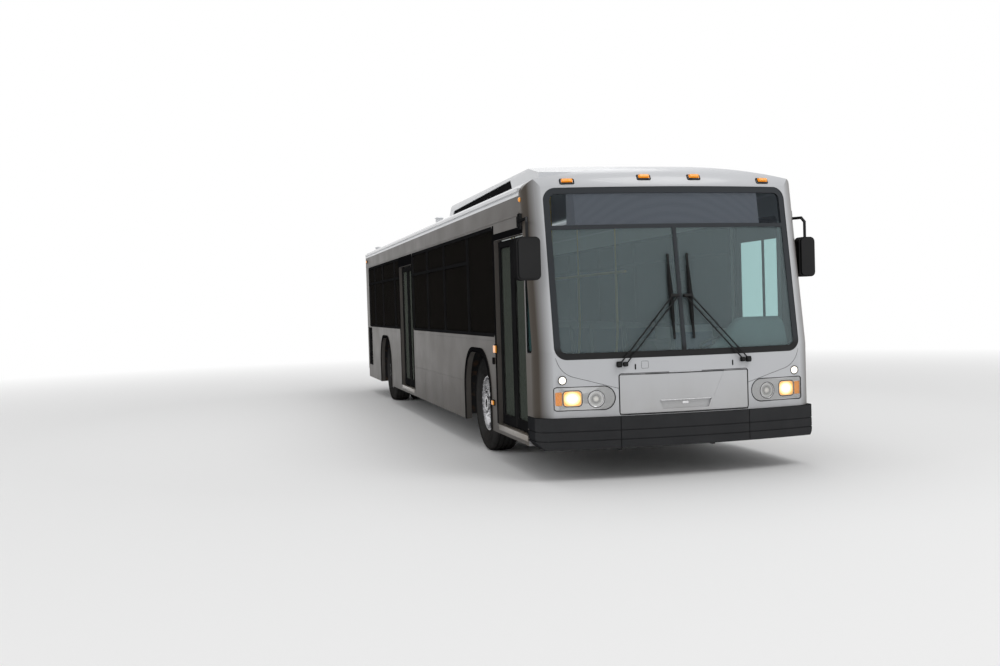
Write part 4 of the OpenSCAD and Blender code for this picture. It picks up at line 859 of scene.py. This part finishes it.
def mask_fittings():
    """Black rims round the clearance lamps, and the slots beside the wiper pivots."""
    rims = Shape()
    across, upright = CLEARANCE_HALF
    for y, z in CLEARANCE:
        ring = looped(rounded((y - across, z - upright), (y + across, z + upright), 0.010))
        rims.tube(on_mask(ring, 0.003), 0.0055, 8)
    patch(rims, rounded(*SLOT, 0.005), -0.0015, 0.002)
    rims.make("mask_fittings", PAINT["rubber"], "body", "black_trim", both=True)


# The side lamp near the roof, its dome as (radius, y), and the socket behind the front door, as (x, z)
SIDE_LAMP = (5.54, 2.45)
DOME = [(0.0005, 0.016), (0.010, 0.0145), (0.018, 0.010), (0.022, 0.003), (0.022, -0.004), (0.0005, -0.004)]
SOCKET = (4.375, 0.98)
# The socket's plate and its lid, as [half width, corner radius, how far it stands out, and where it begins]
SOCKET_PARTS = [[0.034, 0.008, 0.010, -0.002], [0.022, 0.006, 0.014, 0.009]]


def side_fittings():
    """A round amber lamp by the roof on each side, and the square black socket beside the front door."""
    lamps = Shape()
    for side in (-1, 1):
        lamps.turned([(r, side * y) for r, y in DOME], (SIDE_LAMP[0], side * HALF_W, SIDE_LAMP[1]), 24)
    lamps.make("side_lamps", PAINT["amber"], "body", "amber_lens")
    socket = Shape()
    x, z = SOCKET
    for half, radius, proud, root in SOCKET_PARTS:
        outline = rounded((x - half, z - half), (x + half, z + half), radius)
        socket.prism(outline, -HALF_W - proud, -HALF_W - root)
    socket.make("side_socket", PAINT["rubber"], "body", "black_trim")


# A headlamp cluster's recess as (inner, outer, low, high), and its cover's margin and its outer corners' size
POD = (0.632, 1.160, 0.606, 0.812)
COVER_MARGIN = 0.002
COVER_CORNER = (0.028, 0.020)


def cover_outline():
    """Round at the inner end, with two oval corners at the outer one, as points of (y, z)."""
    inner, outer, low, high = POD
    radius = (high - low) / 2 - COVER_MARGIN
    outline = arc((inner + COVER_MARGIN + radius, (low + high) / 2), radius, 90, 270, 16)
    wide, tall = COVER_CORNER
    y = outer - COVER_MARGIN - wide
    for z, start in ((low + COVER_MARGIN + tall, -90), (high - COVER_MARGIN - tall, 0)):
        outline += [(y + wide * u, z + tall * v) for u, v in arc((0, 0), 1, start, start + 90, 8)]
    return outline


def lamp_covers():
    """Clear covers over the headlamp clusters, and the seals, rims and bright rings round the lamps."""
    outline = cover_outline()
    cover = Shape()
    patch(cover, outline, 0.0012, 0.0022)
    cover.make("lamp_covers", PAINT["clear"], "body", "lamp_glass", both=True)
    beads("lamp_cover_seals", [looped(outline)], -0.0006, 0.0042, 6)
    rims = Shape()
    circle = arc(ROUND_LAMP[:2], ROUND_LAMP[2] + 0.009, 0, 360, 40)
    rims.tube(on_mask(circle, -0.006), 0.0035, 8)
    inner, outer, low, high = SQUARE_LAMP
    ring = looped(rounded((inner - 0.006, low - 0.006), (outer + 0.006, high + 0.006), 0.034, 5))
    rims.tube(on_mask(ring, -0.006), 0.0042, 8)
    rims.make("lamp_rims", PAINT["rubber"], "body", "black_trim", both=True)
    circle = arc(ROUND_LAMP[:2], ROUND_LAMP[2] + 0.003, 0, 360, 40)
    beads("lamp_rings", [circle], -0.005, 0.004, 8, "alloy", "wheel_alloy")
    upper = Shape()
    x = mask_face(*UPPER_LAMP) + 0.006
    upper.tube([(x, y, z) for y, z in arc(UPPER_LAMP, 0.035, 0, 360, 32)], 0.004, 8)
    upper.make("upper_lamp_rings", PAINT["dark_plastic"], "body", "black_trim", both=True)


# The access panel's grip as (half length, height), and its latch as low and high corners
GRIP = (0.235, 0.6655)
LATCH = [(-0.028, 0.628), (0.028, 0.650)]


def access_trim():
    """The access panel's grip lip and latch, which move with it."""
    lip = Shape()
    half, z = GRIP
    lip.tube(on_mask([(half * (i / 10 - 1), z) for i in range(21)], -0.002), 0.0035, 8)
    patch(lip, rounded(*LATCH, 0.008), 0.016, 0.006)
    lip.make("access_grip", PAINT["alloy"], "access_panel", "wheel_alloy")


# Doors

# Doorways from their leaves, as [rear, front]
LEAF_CLEARANCE = 0.014
DOORWAYS = [[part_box(f"{door}_leaf_aft")[0].x - LEAF_CLEARANCE,
             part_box(f"{door}_leaf_fore")[1].x + LEAF_CLEARANCE] for door in ("front", "rear")]
# The sill: its opening's lower edge, its foot, how far it stands out, its thickness and its depth
SILL_Z = 0.365
SILL_FOOT_Z = 0.315
SILL_PROUD = 0.003
SILL_T = 0.004
SILL_DEPTH = 0.062
# The meeting seal, as how far it reaches past the leaf's edge, over it and past its faces and ends
MEET_PAST = 0.0035
MEET_OVER = 0.012
MEET_PROUD = 0.002
MEET_END = 0.02
# The glass's seal, from the leaf's edges: beside, below and above
GLASS_MARGIN = (0.058, 0.105, 0.075)


def door_trim():
    """Aluminium sills, and rubber seals on the leaves' meeting edges and round their glass."""
    sills = Shape()
    for rear, front in DOORWAYS:
        rear, front = rear + 0.002, front - 0.002
        face = -HALF_W - SILL_PROUD
        sills.box((rear, face, SILL_FOOT_Z), (front, -HALF_W, SILL_Z + SILL_T), 0.001)
        sills.box((rear, face, SILL_Z + 0.0003), (front, -HALF_W + SILL_DEPTH, SILL_Z + SILL_T), 0.001)
    sills.make("door_sills", PAINT["sill"], "body", "wheel_alloy")
    for leaf in LEAVES:
        low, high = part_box(leaf)
        seal = Shape()
        edges = (low.x - MEET_PAST, low.x + MEET_OVER)
        if leaf.endswith("aft"):
            edges = (high.x - MEET_OVER, high.x + MEET_PAST)
        seal.box((edges[0], LEAF_FACE_Y - MEET_PROUD, low.z + MEET_END),
                 (edges[1], LEAF_FACE_Y + LEAF_T + MEET_PROUD, high.z - MEET_END), 0.002)
        beside, below, above = GLASS_MARGIN
        ring = looped(rounded((low.x + beside, low.z + below), (high.x - beside, high.z - above), 0.032, 5))
        seal.tube([(x, LEAF_FACE_Y + 0.001, z) for x, z in ring], 0.005, 6)
        seal.make(f"{leaf}_seal", PAINT["rubber"], leaf, "black_trim")


# Black film beside the doorways and between windows, as [rear, front, low, high] on the door side
FILM_T = 0.0008
FILM = [[4.442, 4.508, 0.372, 2.300], [4.508, 5.602, 2.152, 2.215], [-0.600, -0.530, 0.372, 2.300],
        [-1.800, -1.732, 0.372, 2.300], [-1.732, -0.600, 2.152, 2.300]]


def door_film():
    """Black film on the wall that joins the windows and the doorways into one dark band."""
    film = Shape()
    for rear, front, low, high in FILM:
        film.box((rear, -HALF_W - FILM_T, low), (front, -HALF_W + 0.001, high), 0.0004, 1)
    film.make("door_film", PAINT["rubber"], "body", "black_trim")


# Wipers

# A blade stands upright beside the centre line, and its arm's pivot is at (y, z)
BLADE_Y = 0.09
BLADE_Z = (1.19, 1.93)
BLADE_STEPS = 12
PIVOT = (0.6, 0.99)
# The pivot's cap and its link's knuckle, as [start and end across, half height, start and end off the mask]
PIVOT_BLOCKS = [[-0.025, 0.025, 0.025, 0.008, 0.038], [-0.080, -0.032, 0.020, 0.012, 0.036]]


def wiper_blades():
    """The rubber blades on their carriers, and the knuckles at the arms' pivots."""
    blades = Shape()
    low, high = BLADE_Z
    blades.tube([(mask_face(BLADE_Y, low) + 0.004, BLADE_Y, low - 0.002),
                 (mask_face(BLADE_Y, high) + 0.004, BLADE_Y, high)], 0.003, 8)
    rings = []
    for i in range(BLADE_STEPS + 1):
        z = low + (high - low) * i / BLADE_STEPS
        half = 0.005 + 0.017 * math.sin(math.pi * i / BLADE_STEPS)
        back = mask_face(BLADE_Y, z) + 0.007
        front = back + 0.008 + 0.5 * half
        rings.append([(back, BLADE_Y - half, z), (front, BLADE_Y - half * 0.4, z),
                      (front, BLADE_Y + half * 0.4, z), (back, BLADE_Y + half, z)])
    blades.loft(rings)
    y, z = PIVOT
    x = mask_face(y, z)
    for start, end, half, root, tip in PIVOT_BLOCKS:
        blades.box((x + root, y + start, z - half), (x + tip, y + end, z + half), 0.010)
    blades.make("wiper_blades", PAINT["rubber"], "body", "black_trim", both=True)


# Saloon

# Overhead rails: ends, distance from the centre line, height, and the posts that carry them
RAIL_X = (-1.6, 3.5)
RAIL_Y = 0.42
RAIL_Z = 1.86
RAIL_R = 0.016
POSTS_X = (-1.3, 0.26, 1.82, 3.2)
POST_FOOT = (0.39, 0.80)
POST_BEND_Z = 1.20
CEILING_Z = 2.655
HANGER_R = 0.010
# Lamp strips in the ceiling: ends, middle, half width, low and high
STRIP_X = (-5.2, 3.9)
STRIP_Y = 0.62
STRIP_HALF = 0.06
STRIP_Z = (2.60, 2.628)


def saloon():
    """Overhead grab rails with uprights, and lamp strips in the ceiling."""
    rails, strips = Shape(), Shape()
    for side in (-1, 1):
        y = side * RAIL_Y
        rails.tube([(x, y, RAIL_Z) for x in RAIL_X], RAIL_R, 10)
        for x in POSTS_X:
            foot = (x, side * POST_FOOT[0], POST_FOOT[1])
            rails.tube([foot, (x, y, POST_BEND_Z), (x, y, RAIL_Z)], RAIL_R, 8)
            rails.tube([(x, y, RAIL_Z), (x, y, CEILING_Z)], HANGER_R, 8)
        y = side * STRIP_Y
        strips.box((STRIP_X[0], y - STRIP_HALF, STRIP_Z[0]), (STRIP_X[1], y + STRIP_HALF, STRIP_Z[1]), 0.01)
    rails.make("saloon_rails", PAINT["yellow"], "body", "rail_yellow")
    strips.make("ceiling_lamps", PAINT["strip"], "body", "lamp_glass")


# The driver's window: its sliding sash as [rear, front, low, high]
SASH_Y = (1.252, 1.2625)
SASH = [[4.530, 5.400, 2.085, 2.260], [4.530, 5.400, 1.255, 1.330], [4.530, 4.625, 1.330, 2.085],
        [5.085, 5.125, 1.330, 2.085]]
# The instrument cowl on the dashboard, across the bus, along it and upwards
COWL_Y = (0.34, 1.08)
COWL_X = (5.775, 5.895)
COWL_Z = (1.078, 1.355)
COWL_LIP = 0.02
COWL_STEPS = 24
# The shares of its width in which the cowl rises and falls again
COWL_RISE = 0.42
COWL_FALL = 0.06


def cowl_height(share):
    """The cowl's top at a share of its width: it rises softly and ends in a short round fall."""
    rise = min(1.0, share / COWL_RISE)
    fall = min(1.0, (1.0 - share) / COWL_FALL)
    swell = (3 * rise**2 - 2 * rise**3) * math.sqrt(fall + 0.04) / 1.02
    return COWL_Z[0] + COWL_LIP + (COWL_Z[1] - COWL_Z[0] - COWL_LIP) * swell


def cab():
    """The sash of the driver's window, and the moulded cowl before the steering wheel."""
    sash = Shape()
    for rear, front, low, high in SASH:
        sash.box((rear, SASH_Y[0], low), (front, SASH_Y[1], high), 0.002, 1)
    sash.make("cab_window_sash", PAINT["dark_plastic"], "body", "black_trim")
    cowl = Shape()
    rings = []
    rear, front = COWL_X
    low = COWL_Z[0]
    for i in range(COWL_STEPS + 1):
        share = i / COWL_STEPS
        y = COWL_Y[0] + (COWL_Y[1] - COWL_Y[0]) * share
        high = cowl_height(share)
        top = [(rear, low), (rear + 0.004, high - 0.03), (rear + 0.022, high - 0.006), (rear + 0.050, high),
               (front - 0.040, high - 0.006), (front - 0.012, high - 0.030),
               (front, max(low + 0.01, high - 0.09)), (front, low)]
        rings.append([(x, y, max(z, low)) for x, z in top])
    cowl.loft(rings)
    cowl.make("dash_cowl", PAINT["cowl"], "body", "charcoal_bumper", sharp=0.9)


# Studio

FLOOR_SIZE = 90.0
FLOOR_COLOUR = (0.80, 0.80, 0.80)
# The floor fades into the white background between these distances from the origin
FADE_START = 6.5
FADE_END = 19.0
WORLD_LIGHT = 0.62


def seen_rays(tree):
    """1 for rays that show the background: from the camera, in a reflection or through glass."""
    path = tree.add("LightPath").outputs
    total = tree.math("ADD", path["Is Camera Ray"], path["Is Glossy Ray"])
    return tree.math("MINIMUM", tree.math("ADD", total, path["Is Transmission Ray"]), 1.0)


def studio_floor():
    """A pale floor that fades into the white background away from the bus."""
    mesh = bpy.data.meshes.new("studio_floor")
    work = bmesh.new()
    bmesh.ops.create_grid(work, x_segments=2, y_segments=2, size=FLOOR_SIZE / 2)
    work.to_mesh(mesh)
    work.free()
    tree = Tree("studio_floor")
    reach = tree.add("VectorMath", {0: tree.place()}, operation="LENGTH").outputs["Value"]
    fade = tree.span(reach, FADE_START, FADE_END, 0.0, 1.0)
    tree.set(Base_Color=FLOOR_COLOUR, Roughness=0.75)
    glow = tree.add("Emission", {"Color": (1.0, 1.0, 1.0), "Strength": 1.0}).outputs[0]
    tree.blend(tree.math("MULTIPLY", fade, seen_rays(tree)), tree.shader.outputs[0], glow)
    mesh.materials.append(tree.block)
    floor = placed("studio_floor", mesh)


def studio_world():
    """A white background for the rays that show it, and a plain light level for the others."""
    tree = Tree("studio_world", bpy.data.worlds, "Background")
    tree.set(Color=(1.0, 1.0, 1.0), Strength=tree.span(seen_rays(tree), 0.0, 1.0, WORLD_LIGHT, 1.0))
    bpy.context.scene.world = tree.block


# Studio lamps, as [name, place, aim, size, power]
LAMPS = [
    ["key_lamp", (13.0, 5.0, 14.0), (4.5, 0.0, 1.2), 8.0, 640.0],
    ["top_lamp", (0.0, 0.0, 12.0), (0.0, 0.0, 0.0), 9.0, 420.0],
    ["door_side_lamp", (4.0, -13.0, 7.0), (1.0, 0.0, 1.2), 6.0, 90.0],
]


def studio_lamps():
    """Round area lamps that face their aims."""
    for name, place, aim, size, power in LAMPS:
        data = bpy.data.lights.new(name, "AREA")
        data.shape = "DISK"
        data.size = size
        data.energy = power
        lamp = placed(name, data)
        lamp.location = place
        lamp.rotation_mode = "QUATERNION"
        lamp.rotation_quaternion = (Vector(aim) - Vector(place)).to_track_quat("-Z", "Y")


# The photograph's camera: place in metres, angles in radians, focal length and frame width in pixels
CAMERA_PLACE = (14.994, -3.803, 1.515)
CAMERA_YAW = 0.238
CAMERA_PITCH = -0.024
CAMERA_ROLL = -0.030
FOCAL_PIXELS = 1106.26
FRAME_WIDTH = 1000
SENSOR = 36.0


def studio_camera():
    """A camera that looks towards -X, turned by its yaw, pitch and roll."""
    data = bpy.data.cameras.new("camera")
    data.sensor_width = SENSOR
    data.lens = FOCAL_PIXELS * SENSOR / FRAME_WIDTH
    camera = placed("camera", data)
    ahead = Vector((-math.cos(CAMERA_YAW) * math.cos(CAMERA_PITCH),
                    math.sin(CAMERA_YAW) * math.cos(CAMERA_PITCH), math.sin(CAMERA_PITCH)))
    level = ahead.cross(Vector((0.0, 0.0, 1.0))).normalized()
    upright = level.cross(ahead)
    c, s = math.cos(CAMERA_ROLL), math.sin(CAMERA_ROLL)
    right = c * level + s * upright
    up = -s * level + c * upright
    axes = Matrix((right, up, -ahead)).transposed()
    camera.matrix_world = Matrix.Translation(CAMERA_PLACE) @ axes.to_4x4()
    bpy.context.scene.camera = camera


tyres()
benches()
mask_lines()
mask_fittings()
side_fittings()
lamp_covers()
access_trim()
door_trim()
door_film()
wiper_blades()
saloon()
cab()
studio_floor()
studio_world()
studio_lamps()
studio_camera()
bpy.context.scene.view_settings.view_transform = "Standard"
